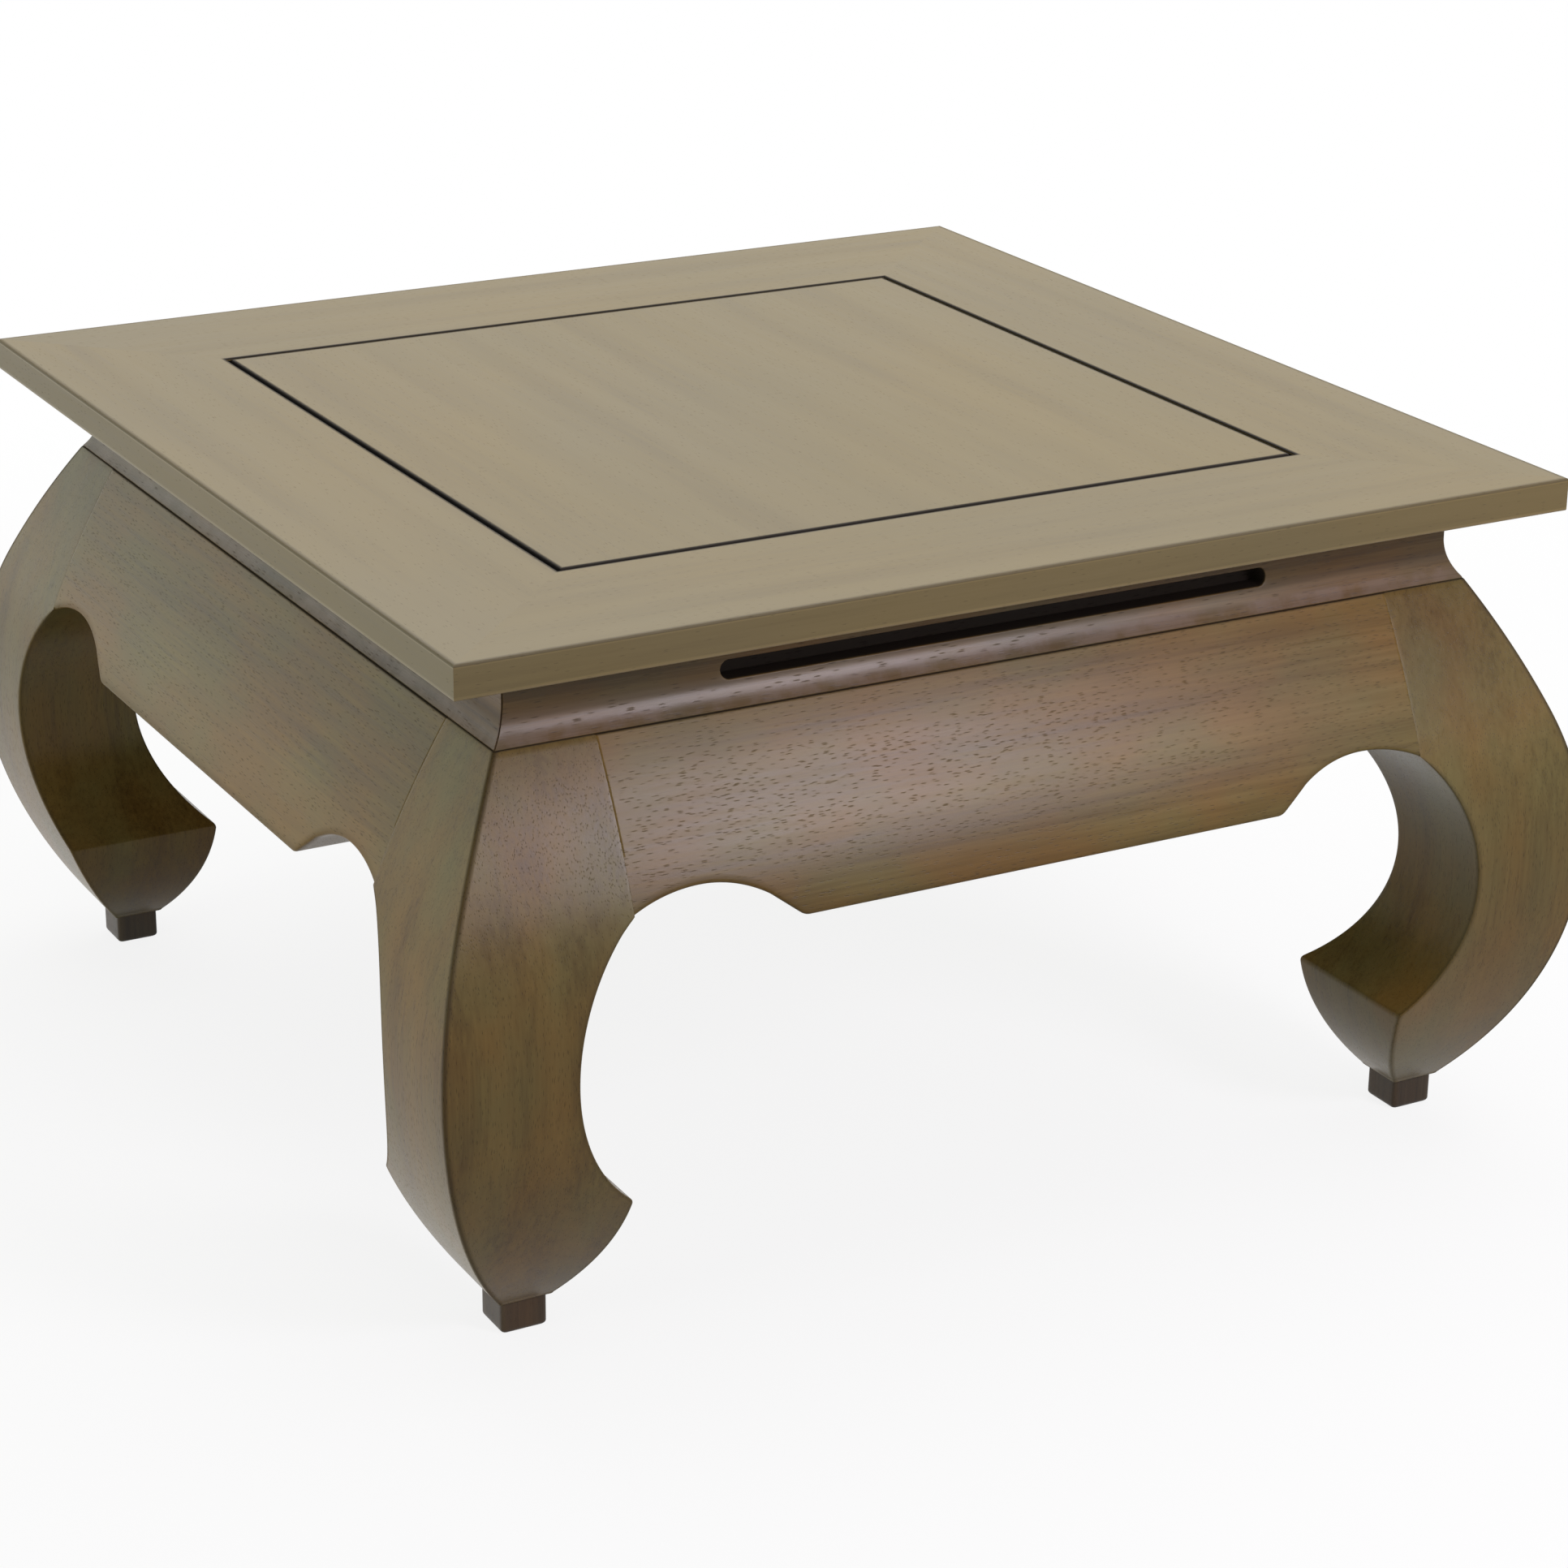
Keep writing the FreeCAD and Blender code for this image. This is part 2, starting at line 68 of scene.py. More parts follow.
class Side(Enum):
    """A side of the table, by the quarter turns that carry the back side to it."""

    BACK = 0
    LEFT = 1
    FRONT = 2
    RIGHT = 3


class Corner(Enum):
    """A corner of the table, by the quarter turns that carry the back right corner to it."""

    BACK_RIGHT = 0
    BACK_LEFT = 1
    FRONT_LEFT = 2
    FRONT_RIGHT = 3


class Grain(Enum):
    """The way the fibres of a board run, as the turn that lays them along the pattern's first axis."""

    ALONG_X = (0.0, 0.0, 0.0)
    ALONG_Y = (0.0, 0.0, -QUARTER)
    ALONG_Z = (0.0, QUARTER, 0.0)


# Outlines


@dataclass(frozen=True)
class Arc:
    """Part of a circle in an upright section, read as a distance from the middle at a height.

    Attributes:
        across: distance of the circle's centre from the middle of the table.
        up: height of the circle's centre.
        radius: radius of the circle; below zero, the side of it nearer the middle is read.
    """

    across: float
    up: float
    radius: float

    def at(self, height: np.ndarray) -> np.ndarray:
        """Distances from the middle at heights within the circle."""
        rise = np.clip(np.asarray(height) - self.up, -abs(self.radius), abs(self.radius))
        return self.across + math.copysign(1.0, self.radius) * np.sqrt(self.radius**2 - rise**2)


def level_arc(crown: Point, end: Point) -> Arc:
    """An arc that stands upright at its crown and runs through another point.

    Args:
        crown: the point at the height of the arc's centre.
        end: the other point.

    Returns:
        The arc.
    """
    run, rise = crown[0] - end[0], crown[1] - end[1]
    radius = (run**2 + rise**2) / (2 * run)
    return Arc(crown[0] - radius, crown[1], radius)


def smooth_arc(before: Arc, start: Point, end: Point) -> Arc:
    """An arc that runs on from another without a bend.

    Args:
        before: the arc that it follows.
        start: the point where the two meet.
        end: its far end.

    Returns:
        The arc.
    """
    inward = np.array([before.across - start[0], before.up - start[1]])
    inward /= np.linalg.norm(inward)
    chord = np.array(end) - np.array(start)
    radius = float(chord @ chord / (2 * inward @ chord))
    centre = np.array(start) + inward * radius
    return Arc(float(centre[0]), float(centre[1]), radius)


def toward(start: np.ndarray, end: np.ndarray, distance: float) -> np.ndarray:
    """The point at a distance from the start, on the way to the end."""
    return start + (end - start) / np.linalg.norm(end - start) * distance


def eased(before: Spot, corner: Spot, after: Spot, steps: int) -> np.ndarray:
    """A corner turned into a smooth bend.

    Args:
        before: where the bend starts.
        corner: the corner that it cuts off.
        after: where the bend ends.
        steps: how many sides the bend has.

    Returns:
        The points of the bend, both ends included.
    """
    share = np.linspace(0.0, 1.0, steps + 1)[:, None]
    first, middle, last = (np.array(point) for point in (before, corner, after))
    return (1 - share) ** 2 * first + 2 * share * (1 - share) * middle + share**2 * last


def board_cuts(longest: float, strip: float = 1.5 * MM) -> Cuts:
    """How the straight stretches of a board's section are divided.

    Args:
        longest: the longest side left undivided.
        strip: least width of the narrow side beside an eased corner.

    Returns:
        A function of a stretch's length and the easings at its ends, which gives the places of the cuts.
    """

    def cuts(run: float, ease: float, ahead_ease: float) -> np.ndarray:
        """The cuts of one stretch, with a narrow side beside each eased corner."""
        near, far = (min(max(2 * reach, strip), run / 3) for reach in (ease, ahead_ease))
        return np.linspace(near, run - far, max(int((run - near - far) / longest), 1) + 1)

    return cuts


def post_cuts(run: float, *_: float, strip: float = 2.5 * MM, count: int = 9) -> np.ndarray:
    """The cuts of one side of a post, as many at every level."""
    near = min(strip, run / 4)
    return np.linspace(near, run - near, count)


def eased_outline(
    corners: Sequence[tuple[float, float, float, float]], steps: int, cuts: Cuts
) -> np.ndarray:
    """A closed outline whose corners are eased and whose sides are divided.

    Args:
        corners: for each corner, its two coordinates, how far its easing reaches and its edge mark.
        steps: how many sides each eased corner has.
        cuts: how the straight stretches are divided.

    Returns:
        Rows of two coordinates and an edge mark. A straight stretch is marked where both its ends are
        marked alike.
    """
    rows = []
    for index, (*spot, ease, mark) in enumerate(corners):
        *ahead_spot, ahead_ease, ahead_mark = corners[(index + 1) % len(corners)]
        here, back, ahead = (np.array(place) for place in (spot, corners[index - 1][:2], ahead_spot))
        start, end = toward(here, ahead, ease), toward(ahead, here, ahead_ease)
        bend = eased(toward(here, back, ease), here, start, steps) if ease else [here]
        run = float(np.linalg.norm(end - start))
        shared = mark if mark == ahead_mark else 0.0
        rows += [(*point, mark) for point in bend]
        rows += [(*(start + (end - start) * along / run), shared) for along in cuts(run, ease, ahead_ease)]
    return np.array(rows)


# Meshes


def closed_mesh(name: str, rings: Sequence[Any]) -> bpy.types.Mesh:
    """A closed mesh of rings, each joined to the next, with a flat face over the first and the last.

    Args:
        name: name of the mesh.
        rings: rings of as many points each. A point has three coordinates and an edge mark: above zero
        for rubbed edges and painted highlights, below zero for deeper stain and painted shade.

    Returns:
        The mesh, with its edges joined and its faces pointing outwards.
    """
    grid = np.array(rings)
    numbers = np.arange(grid[..., 0].size).reshape(grid.shape[:2])
    after = np.roll(numbers, -1, axis=1)
    walls = np.stack([numbers[:-1], after[:-1], after[1:], numbers[1:]], axis=-1).reshape(-1, 4)
    mesh = bpy.data.meshes.new(name)
    faces = [*walls.tolist(), numbers[0].tolist(), numbers[-1].tolist()]
    mesh.from_pydata(grid[..., :3].reshape(-1, 3).tolist(), [], faces)
    attribute = mesh.attributes.new(EDGE, "FLOAT", "POINT")
    attribute.data.foreach_set("value", grid[..., 3].ravel().astype(np.float32))
    work = bmesh.new()
    work.from_mesh(mesh)
    bmesh.ops.remove_doubles(work, verts=work.verts, dist=DOUBLES)
    bmesh.ops.dissolve_degenerate(work, edges=work.edges, dist=DOUBLES)
    bmesh.ops.recalc_face_normals(work, faces=work.faces)
    work.to_mesh(mesh)
    work.free()
    mesh.polygons.foreach_set("use_smooth", [True] * len(mesh.polygons))
    mesh.set_sharp_from_angle(angle=SHARP_ANGLE)
    return mesh


@dataclass(frozen=True)
class Ring:
    """One level of a square post in the back right corner.

    Attributes:
        near: the post's nearest distance from the middle of the table, in both directions.
        far: its farthest distance.
        height: the level.
        eases: how far the easing of its inmost, side and outmost edges reaches.
        marks: edge marks of those edges; where all are alike, the whole ring is marked.
    """

    near: float
    far: float
    height: float
    eases: Place
    marks: Place = (0.0, 0.0, 0.0)

    def points(self) -> np.ndarray:
        """Lays out the ring.

        Returns:
            Its points, with their edge marks.
        """
        inmost, aside, outmost = zip(self.eases, self.marks)
        corners = [
            (self.near, self.near, *inmost),
            (self.far, self.near, *aside),
            (self.far, self.far, *outmost),
            (self.near, self.far, *aside),
        ]
        return np.insert(eased_outline(corners, steps=5, cuts=post_cuts), 2, self.height, axis=1)


def post(name: str, rings: Sequence[Ring]) -> bpy.types.Mesh:
    """A post made of square rings from the bottom up."""
    return closed_mesh(name, [ring.points() for ring in rings])


def swept(name: str, section: np.ndarray, reach: np.ndarray | float, count: int) -> bpy.types.Mesh:
    """A board of the back side: one section all along, cut off at both ends.

    Args:
        name: name of the mesh.
        section: closed outline of distances from the middle, heights and edge marks.
        reach: how far the board goes to each side, at each point of the section or at all.
        count: how many times the section stands along the board.

    Returns:
        The board.
    """
    ends = np.broadcast_to(reach, len(section))
    return closed_mesh(name, [np.column_stack([ends * run, section]) for run in np.linspace(-1, 1, count)])


# Node trees


class Desk:
    """Places nodes in one tree and links them."""

    def __init__(self, tree: bpy.types.NodeTree) -> None:
        """Takes the tree to work in."""
        self.tree = tree

    def put(
        self, kind: str, feeds: dict[str | int, Any] | None = None, **settings: Any
    ) -> bpy.types.Node:
        """Places a node.

        Args:
            kind: the node's type.
            feeds: for each input, by name or number, a value to set or an output to link.
            settings: the node's own properties.

        Returns:
            The node.
        """
        node = self.tree.nodes.new(kind)
        for name, value in settings.items():
            setattr(node, name, value)
        for name, value in (feeds or {}).items():
            if isinstance(value, Socket):
                self.tree.links.new(value, node.inputs[name])
            else:
                node.inputs[name].default_value = value
        return node

    def math(self, operation: str, first: Any, second: Any = 0.0, clamp: bool = False) -> Socket:
        """One sum of two values; gives its result."""
        node = self.put("ShaderNodeMath", {0: first, 1: second}, operation=operation, use_clamp=clamp)
        return node.outputs[0]

    def vector(self, operation: str, first: Any, second: Any) -> Socket:
        """One sum of two places; gives its result."""
        return self.put("ShaderNodeVectorMath", {0: first, 1: second}, operation=operation).outputs["Vector"]

    def between(self, value: Any, low: float, high: float, start: float = 0.0, end: float = 1.0) -> Any:
        """A value carried smoothly from one range to another; gives its result."""
        feeds = {"Value": value, "From Min": low, "From Max": high, "To Min": start, "To Max": end}
        return self.put("ShaderNodeMapRange", feeds, interpolation_type="SMOOTHSTEP").outputs["Result"]

    def noise(self, place: Any, cells: Any, detail: float, roughness: float = 0.5) -> bpy.types.Node:
        """Soft noise with a count of cells to the metre for each direction."""
        feeds = {"Vector": self.vector("MULTIPLY", place, cells), "Scale": 1.0, "Detail": detail}
        return self.put("ShaderNodeTexNoise", {**feeds, "Roughness": roughness})

    def mixed(self, share: Any, first: Any, second: Any, blend: str = "MIX") -> Socket:
        """Two colours mixed by a share; gives the colour."""
        feeds = {0: share, 6: first, 7: second}
        return self.put("ShaderNodeMix", feeds, data_type="RGBA", blend_type=blend).outputs[2]


class Group(Desk):
    """A new node group with named sockets, and a desk to work on it."""

    def __init__(
        self, name: str, kind: str, inputs: dict[str, str | float], outputs: dict[str, str]
    ) -> None:
        """Makes the group.

        Args:
            name: name of the group.
            kind: type of the tree.
            inputs: for each input, the first value of a plain number, or else its socket type.
            outputs: socket type of each output.
        """
        super().__init__(bpy.data.node_groups.new(name, kind))
        sockets = self.tree.interface
        for label, value in inputs.items():
            if isinstance(value, str):
                sockets.new_socket(label, in_out="INPUT", socket_type=value)
            else:
                sockets.new_socket(label, in_out="INPUT", socket_type=VALUE).default_value = value
        for label, socket in outputs.items():
            sockets.new_socket(label, in_out="OUTPUT", socket_type=socket)
        self.given = self.put("NodeGroupInput").outputs
        self.end = self.put("NodeGroupOutput")

    def give(self, results: dict[str, Socket]) -> bpy.types.NodeTree:
        """Links the group's results to its outputs.

        Args:
            results: what each output puts out.

        Returns:
            The group's tree.
        """
        for name, socket in results.items():
            self.tree.links.new(socket, self.end.inputs[name])
        return self.tree


# Finishes


def stain(red: int, green: int, blue: int) -> tuple[float, float, float, float]:
    """A colour as the eye names it, in the linear values that light works with.

    Args:
        red: its red, from 0 to 255.
        green: its green.
        blue: its blue.

    Returns:
        The linear colour, fully opaque.
    """
    parts = [part / 255 for part in (red, green, blue)]
    linear = [part / 12.92 if part <= 0.04045 else ((part + 0.055) / 1.055) ** 2.4 for part in parts]
    return linear[0], linear[1], linear[2], 1.0


class WoodEffects:
    """The effects that all the woods of the table share, each one a shader node group.

    Patterns are given in cells to the metre along and across the fibres, and masks by the values between
    which they rise.
    """

    DRIFTS = (2.5, 7.0, 7.0)
    FIBRES = (9.0, 320.0, 320.0)
    BANDS = (1.6, 34.0, 34.0)
    PORES = (95.0, 720.0, 720.0)
    PORE_CROWDS = (3.0, 60.0, 60.0)
    WEAR_SPOTS = (45.0, 45.0, 45.0)
    CLOUD_STRETCH = (0.55, 1.0, 1.0)
    HUE_SHIFT = (7.3, 2.9, 5.1)
    GLUE_LINE = (0.15 * MM, 0.55 * MM)
    PORE_RIM = (0.10, 0.34)
    CLOUD_RANGE = (0.28, 0.72)
    WEAR_RANGE = (0.35, 0.65)
    LEAST_WEAR = 0.25

    def __init__(self) -> None:
        """Builds the groups."""
        self.open_grain = self._open_grain()
        self.stain_cloud = self._stain_cloud()
        self.edge_wear_sheen_and_shade = self._edge_wear_sheen_and_shade()
        self.glued_boards = self._glued_boards()

    @staticmethod
    def _group(name: str, inputs: dict[str, float], outputs: Sequence[str]) -> Group:
        """A shader group that starts from a place and puts out values."""
        return Group(name, "ShaderNodeTree", {"Place": VECTOR, **inputs}, {label: VALUE for label in outputs})

    def _open_grain(self) -> bpy.types.NodeTree:
        """Builds fibres, broad bands and open pores that run along the first axis.

        Returns:
            The group.
        """
        inputs = {"Wander": 0.006, "Pore share": 0.5, "Pore fineness": 1.0}
        group = self._group("open_grain", inputs, ("Fibre", "Band", "Pore"))
        place = group.given["Place"]
        drift = group.noise(place, self.DRIFTS, detail=2.0).outputs["Color"]
        sway = group.vector("SUBTRACT", drift, (0.5, 0.5, 0.5))
        path = group.vector("ADD", place, group.vector("MULTIPLY", sway, group.given["Wander"]))
        feeds = {"Vector": group.vector("MULTIPLY", path, self.PORES), "Scale": group.given["Pore fineness"]}
        cells = group.put("ShaderNodeTexVoronoi", feeds).outputs
        chance = group.put("ShaderNodeSeparateColor", {0: cells["Color"]}).outputs[0]
        crowd = group.noise(path, self.PORE_CROWDS, detail=2.0).outputs[0]
        kept = group.math("LESS_THAN", chance, group.math("MULTIPLY", group.given["Pore share"], crowd))
        dash = group.between(cells["Distance"], *self.PORE_RIM, 1.0, 0.0)
        return group.give(
            {
                "Fibre": group.noise(path, self.FIBRES, detail=3.0, roughness=0.6).outputs[0],
                "Band": group.noise(path, self.BANDS, detail=3.0, roughness=0.55).outputs[0],
                "Pore": group.math("MULTIPLY", dash, kept),
            }
        )

    def _stain_cloud(self) -> bpy.types.NodeTree:
        """Builds patches where the stain took more or less, and leaned to one hue or another.

        Returns:
            The group.
        """
        group = self._group("stain_cloud", {"Patches": 9.0}, ("Depth", "Hue"))
        cloud = group.vector("MULTIPLY", group.given["Place"], group.given["Patches"])
        shifts = {"Depth": (0.0, 0.0, 0.0), "Hue": self.HUE_SHIFT}
        results = {}
        for name, shift in shifts.items():
            place = group.vector("ADD", group.vector("MULTIPLY", cloud, self.CLOUD_STRETCH), shift)
            patch = group.noise(place, (1.0, 1.0, 1.0), detail=3.0, roughness=0.55).outputs[0]
            results[name] = group.between(patch, *self.CLOUD_RANGE)
        return group.give(results)

    def _edge_wear_sheen_and_shade(self) -> bpy.types.NodeTree:
        """Builds pale rubbed spots and painted highlights along the eased edges, and deeper stain and painted
        shade in grooves, slots, joints and hollows.

        Returns:
            The group.
        """
        group = self._group("edge_wear_sheen_and_shade", {"Amount": 0.5}, ("Rubbed", "Pooled"))
        edge = group.put("ShaderNodeAttribute", attribute_name=EDGE).outputs["Fac"]
        patchy = group.noise(group.given["Place"], self.WEAR_SPOTS, detail=4.0, roughness=0.6).outputs[0]
        share = group.between(patchy, *self.WEAR_RANGE, self.LEAST_WEAR, 1.0)
        # Positive edge marks give rubbed spots and painted highlights; negative ones give deeper stain and
        # painted shade.
        spots = group.math("MULTIPLY", share, group.math("MAXIMUM", edge, 0.0))
        return group.give(
            {
                "Rubbed": group.math("MULTIPLY", spots, group.given["Amount"], clamp=True),
                "Pooled": group.math("MULTIPLY", edge, -1.0, clamp=True),
            }
        )

    def _glued_boards(self) -> bpy.types.NodeTree:
        """Builds staves glued side by side, each of its own tone, with a fine glue line.

        Returns:
            The group.
        """
        group = self._group("glued_boards", {"Stave width": 0.09}, ("Tone", "Glue line"))
        width = group.given["Stave width"]
        across = group.put("ShaderNodeSeparateXYZ", {0: group.given["Place"]}).outputs
        floors, lines = [], []
        for axis in ("Y", "Z"):
            stave = group.math("ADD", group.math("DIVIDE", across[axis], width), 0.5)
            floors.append(group.math("FLOOR", stave))
            middle = group.math("ABSOLUTE", group.math("SUBTRACT", group.math("FRACT", stave), 0.5))
            gap = group.math("MULTIPLY", group.math("SUBTRACT", 0.5, middle), width)
            lines.append(group.between(gap, *self.GLUE_LINE, 1.0, 0.0))
        cell = group.put("ShaderNodeCombineXYZ", dict(enumerate(floors))).outputs[0]
        tone = group.put("ShaderNodeTexWhiteNoise", {"Vector": cell}, noise_dimensions="2D").outputs["Value"]
        return group.give({"Tone": tone, "Glue line": group.math("MAXIMUM", *lines)})


@dataclass(frozen=True)
class WoodFinish:
    """A stained and lacquered open-pored wood.

    Attributes:
        name: name of the material.
        grain: the way that the fibres run.
        deep: colour of its darkest streaks.
        body: its main colour.
        pale: colour of its palest streaks.
        warm: tint of the patches where the stain leans to ochre.
        cool: tint of the patches where it leans to grey.
        rubbed: colour of its rubbed edges; on the waist, also of the painted sheen on the cove's pale lip.
        pooled: colour of deeper stain on some edges, and of painted shade in its grooves, slots, joints and
            hollows.
        wear: how much its edges are rubbed.
        pore_share: how many of its pores show.
        pore_fineness: how small the pores are.
        pore_dark: how much of the pores' own stain shows.
        pore_shade: how many times darker than the darkest streaks that stain is.
        roughness: how matt the lacquer is.
        sheen: how strongly the lacquer mirrors.
        stave_width: width of the staves that it is glued from.
        stave_contrast: how much the staves differ.
        glue: how dark the lines between them are.
        patches: stain patches to the metre.
        streaks: shares of fibres and of broad bands in its streaks.
        tones: where the deep, main and pale colours stand among the streaks.
        tinting: how strong the tints are.
        clouding: how much deeper the stain is in its deepest patches.
        fibre_range: values of the fibres between which the roughness changes.
        fibre_gloss: how much it changes there, down and up.
        pore_matt: how much rougher a pore is.
        dark_mark_matt: how much rougher the lacquer is over deeper stain and painted shade.
        fibre_relief: height of the fibres, beside the depth of a pore.
        relief: strength of both.
        pore_depth: depth of a pore.
    """

    name: str
    grain: Grain
    deep: Colour
    body: Colour
    pale: Colour
    warm: Colour = (255, 231, 192)
    cool: Colour = (229, 245, 239)
    rubbed: Colour = (160, 136, 100)
    pooled: Colour = (22, 16, 13)
    wear: float = 0.45
    pore_share: float = 0.9
    pore_fineness: float = 1.5
    pore_dark: float = 0.4
    pore_shade: int = 3
    roughness: float = 0.29
    sheen: float = 0.22
    stave_width: float = 0.088
    stave_contrast: float = 0.12
    glue: float = 0.25
    patches: float = 15.0
    streaks: Point = (0.45, 0.55)
    tones: Place = (0.30, 0.50, 0.72)
    tinting: float = 0.9
    clouding: float = 0.28
    fibre_range: Point = (0.25, 0.75)
    fibre_gloss: Point = (0.02, 0.03)
    pore_matt: float = 0.2
    dark_mark_matt: float = 0.5
    fibre_relief: float = 0.12
    relief: float = 0.18
    pore_depth: float = 0.25 * MM

    def material(self, effects: WoodEffects) -> bpy.types.Material:
        """Builds the material.

        Args:
            effects: the shared node groups.

        Returns:
            The material.
        """
        made = bpy.data.materials.new(self.name)
        made.use_nodes = True
        made.node_tree.nodes.clear()
        desk = Desk(made.node_tree)
        spot = desk.put("ShaderNodeTexCoord").outputs["Object"]
        place = desk.put("ShaderNodeMapping", {"Vector": spot, "Rotation": self.grain.value}).outputs[0]
        grain, cloud, wear, boards = (
            desk.put("ShaderNodeGroup", {"Place": place, **values}, node_tree=tree).outputs
            for tree, values in (
                (effects.open_grain, {"Pore share": self.pore_share, "Pore fineness": self.pore_fineness}),
                (effects.stain_cloud, {"Patches": self.patches}),
                (effects.edge_wear_sheen_and_shade, {"Amount": self.wear}),
                (effects.glued_boards, {"Stave width": self.stave_width}),
            )
        )
        shader = {
            "Base Color": self._colour(desk, grain, cloud, wear, boards),
            "Roughness": self._roughness(desk, grain, wear),
            "Normal": self._normal(desk, grain),
            "Specular IOR Level": self.sheen,
        }
        lacquered = desk.put("ShaderNodeBsdfPrincipled", shader)
        desk.put("ShaderNodeOutputMaterial", {"Surface": lacquered.outputs[0]})
        return made

    def _colour(self, desk: Desk, grain: Any, cloud: Any, wear: Any, boards: Any) -> Socket:
        """Lays streaks, tints, glue lines, pores, rubbed edges with painted highlights, and deeper stain with
        painted shade over each other.

        Args:
            desk: the material's desk.
            grain: results of the grain.
            cloud: results of the stain patches.
            wear: results of the wear.
            boards: results of the staves.

        Returns:
            The colour.
        """
        fibres, bands = (
            desk.math("MULTIPLY", grain[name], share) for name, share in zip(("Fibre", "Band"), self.streaks)
        )
        stave = desk.math("MULTIPLY", desk.math("SUBTRACT", boards["Tone"], 0.5), self.stave_contrast)
        ramp = desk.put("ShaderNodeValToRGB", {0: desk.math("ADD", desk.math("ADD", fibres, bands), stave)})
        stops = ramp.color_ramp.elements
        stops.new(self.tones[1])
        for stop, position, colour in zip(stops, self.tones, (self.deep, self.body, self.pale)):
            stop.position, stop.color = position, stain(*colour)
        tint = desk.mixed(cloud["Hue"], stain(*self.warm), stain(*self.cool))
        colour = desk.mixed(self.tinting, ramp.outputs[0], tint, "MULTIPLY")
        pore_stain = tuple(part // self.pore_shade for part in self.deep)
        layers = (
            (desk.between(cloud["Depth"], 0.0, 1.0, 0.0, self.clouding), self.deep),
            (desk.math("MULTIPLY", boards["Glue line"], self.glue), self.deep),
            (desk.math("MULTIPLY", grain["Pore"], self.pore_dark), pore_stain),
            # The last two layers lay rubbed spots with painted highlights, and deeper stain with painted
            # shade.
            (wear["Rubbed"], self.rubbed),
            (wear["Pooled"], self.pooled),
        )
        for share, layer in layers:
            colour = desk.mixed(share, colour, stain(*layer))
        return colour

    def _roughness(self, desk: Desk, grain: Any, wear: Any) -> Socket:
        """Changes the roughness of the lacquer over fibres, pores, deeper stain and painted shade.

        Args:
            desk: the material's desk.
            grain: results of the grain.
            wear: results of the wear.

        Returns:
            The roughness.
        """
        low, high = self.roughness - self.fibre_gloss[0], self.roughness + self.fibre_gloss[1]
        lacquer = desk.between(grain["Fibre"], *self.fibre_range, low, high)
        open_pores = desk.math("ADD", lacquer, desk.math("MULTIPLY", grain["Pore"], self.pore_matt))
        return desk.math("ADD", open_pores, desk.math("MULTIPLY", wear["Pooled"], self.dark_mark_matt), clamp=True)

    def _normal(self, desk: Desk, grain: Any) -> Socket:
        """Raises the fibres and sinks the pores.

        Args:
            desk: the material's desk.
            grain: results of the grain.

        Returns:
            The normal.
        """
        fibres = desk.math("MULTIPLY", grain["Fibre"], self.fibre_relief)
        height = desk.math("SUBTRACT", fibres, grain["Pore"])
        feeds = {"Strength": self.relief, "Distance": self.pore_depth, "Height": height}
        return desk.put("ShaderNodeBump", feeds).outputs[0]


# Repeats round the table


class DressedTree(Group):
    """A geometry tree that turns a piece into real faces with their wood."""

    def __init__(self, name: str, inputs: dict[str, float]) -> None:
        """Starts the tree with its number inputs."""
        sockets = {"Piece": GEOMETRY, **inputs, "Wood": "NodeSocketMaterial"}
        super().__init__(name, "GeometryNodeTree", sockets, {"Dressed piece": GEOMETRY})

    def turned(self, angle: Socket) -> Socket:
        """A turn about the upright axis; gives the rotation."""
        upright = self.put("ShaderNodeCombineXYZ", {"Z": angle})
        return self.put("FunctionNodeEulerToRotation", {0: upright.outputs[0]}).outputs[0]

    def dress(self, geometry: Socket) -> None:
        """Ends the tree with real faces and their wood.

        Args:
            geometry: what the tree has made.
        """
        real = self.put("GeometryNodeRealizeInstances", {"Geometry": geometry}).outputs[0]
        feeds = {"Geometry": real, "Material": self.given["Wood"]}
        self.give({"Dressed piece": self.put("GeometryNodeSetMaterial", feeds).outputs[0]})

    def evaluated(self, mesh: bpy.types.Mesh, values: dict[str, Any]) -> bpy.types.Mesh:
        """What the tree makes of a mesh, as a plain mesh.

        Args:
            mesh: the mesh to start from.
            values: values of the tree's inputs, by name.

        Returns:
            The new mesh.
        """
        carrier = bpy.data.objects.new(f"{mesh.name}_carrier", mesh)
        bpy.context.scene.collection.objects.link(carrier)
        modifier = carrier.modifiers.new(self.tree.name, "NODES")
        modifier.node_group = self.tree
        for socket in self.tree.interface.items_tree:
            if socket.in_out == "INPUT" and socket.name in values:
                modifier[socket.identifier] = values[socket.name]
        graph = bpy.context.evaluated_depsgraph_get()
        made = bpy.data.meshes.new_from_object(
            carrier.evaluated_get(graph), preserve_all_data_layers=True, depsgraph=graph
        )
        carrier.modifiers.remove(modifier)
        bpy.data.objects.remove(carrier)
        return made


class QuarterTurn(DressedTree):
    """Carries a piece of the back side or the back right corner round the table."""

    def __init__(self) -> None:
        """Builds the tree."""
        super().__init__("quarter_turn", {"Quarter turns": 0.0})
        turn = self.turned(self.math("MULTIPLY", self.given["Quarter turns"], QUARTER))
        feeds = {"Geometry": self.given["Piece"], "Rotation": turn}
        self.dress(self.put("GeometryNodeTransform", feeds).outputs[0])

    def piece(self, mesh: bpy.types.Mesh, turns: int, wood: bpy.types.Material) -> bpy.types.Mesh:
        """A new mesh, turned and with its wood."""
        return self.evaluated(mesh, {"Quarter turns": float(turns), "Wood": wood})


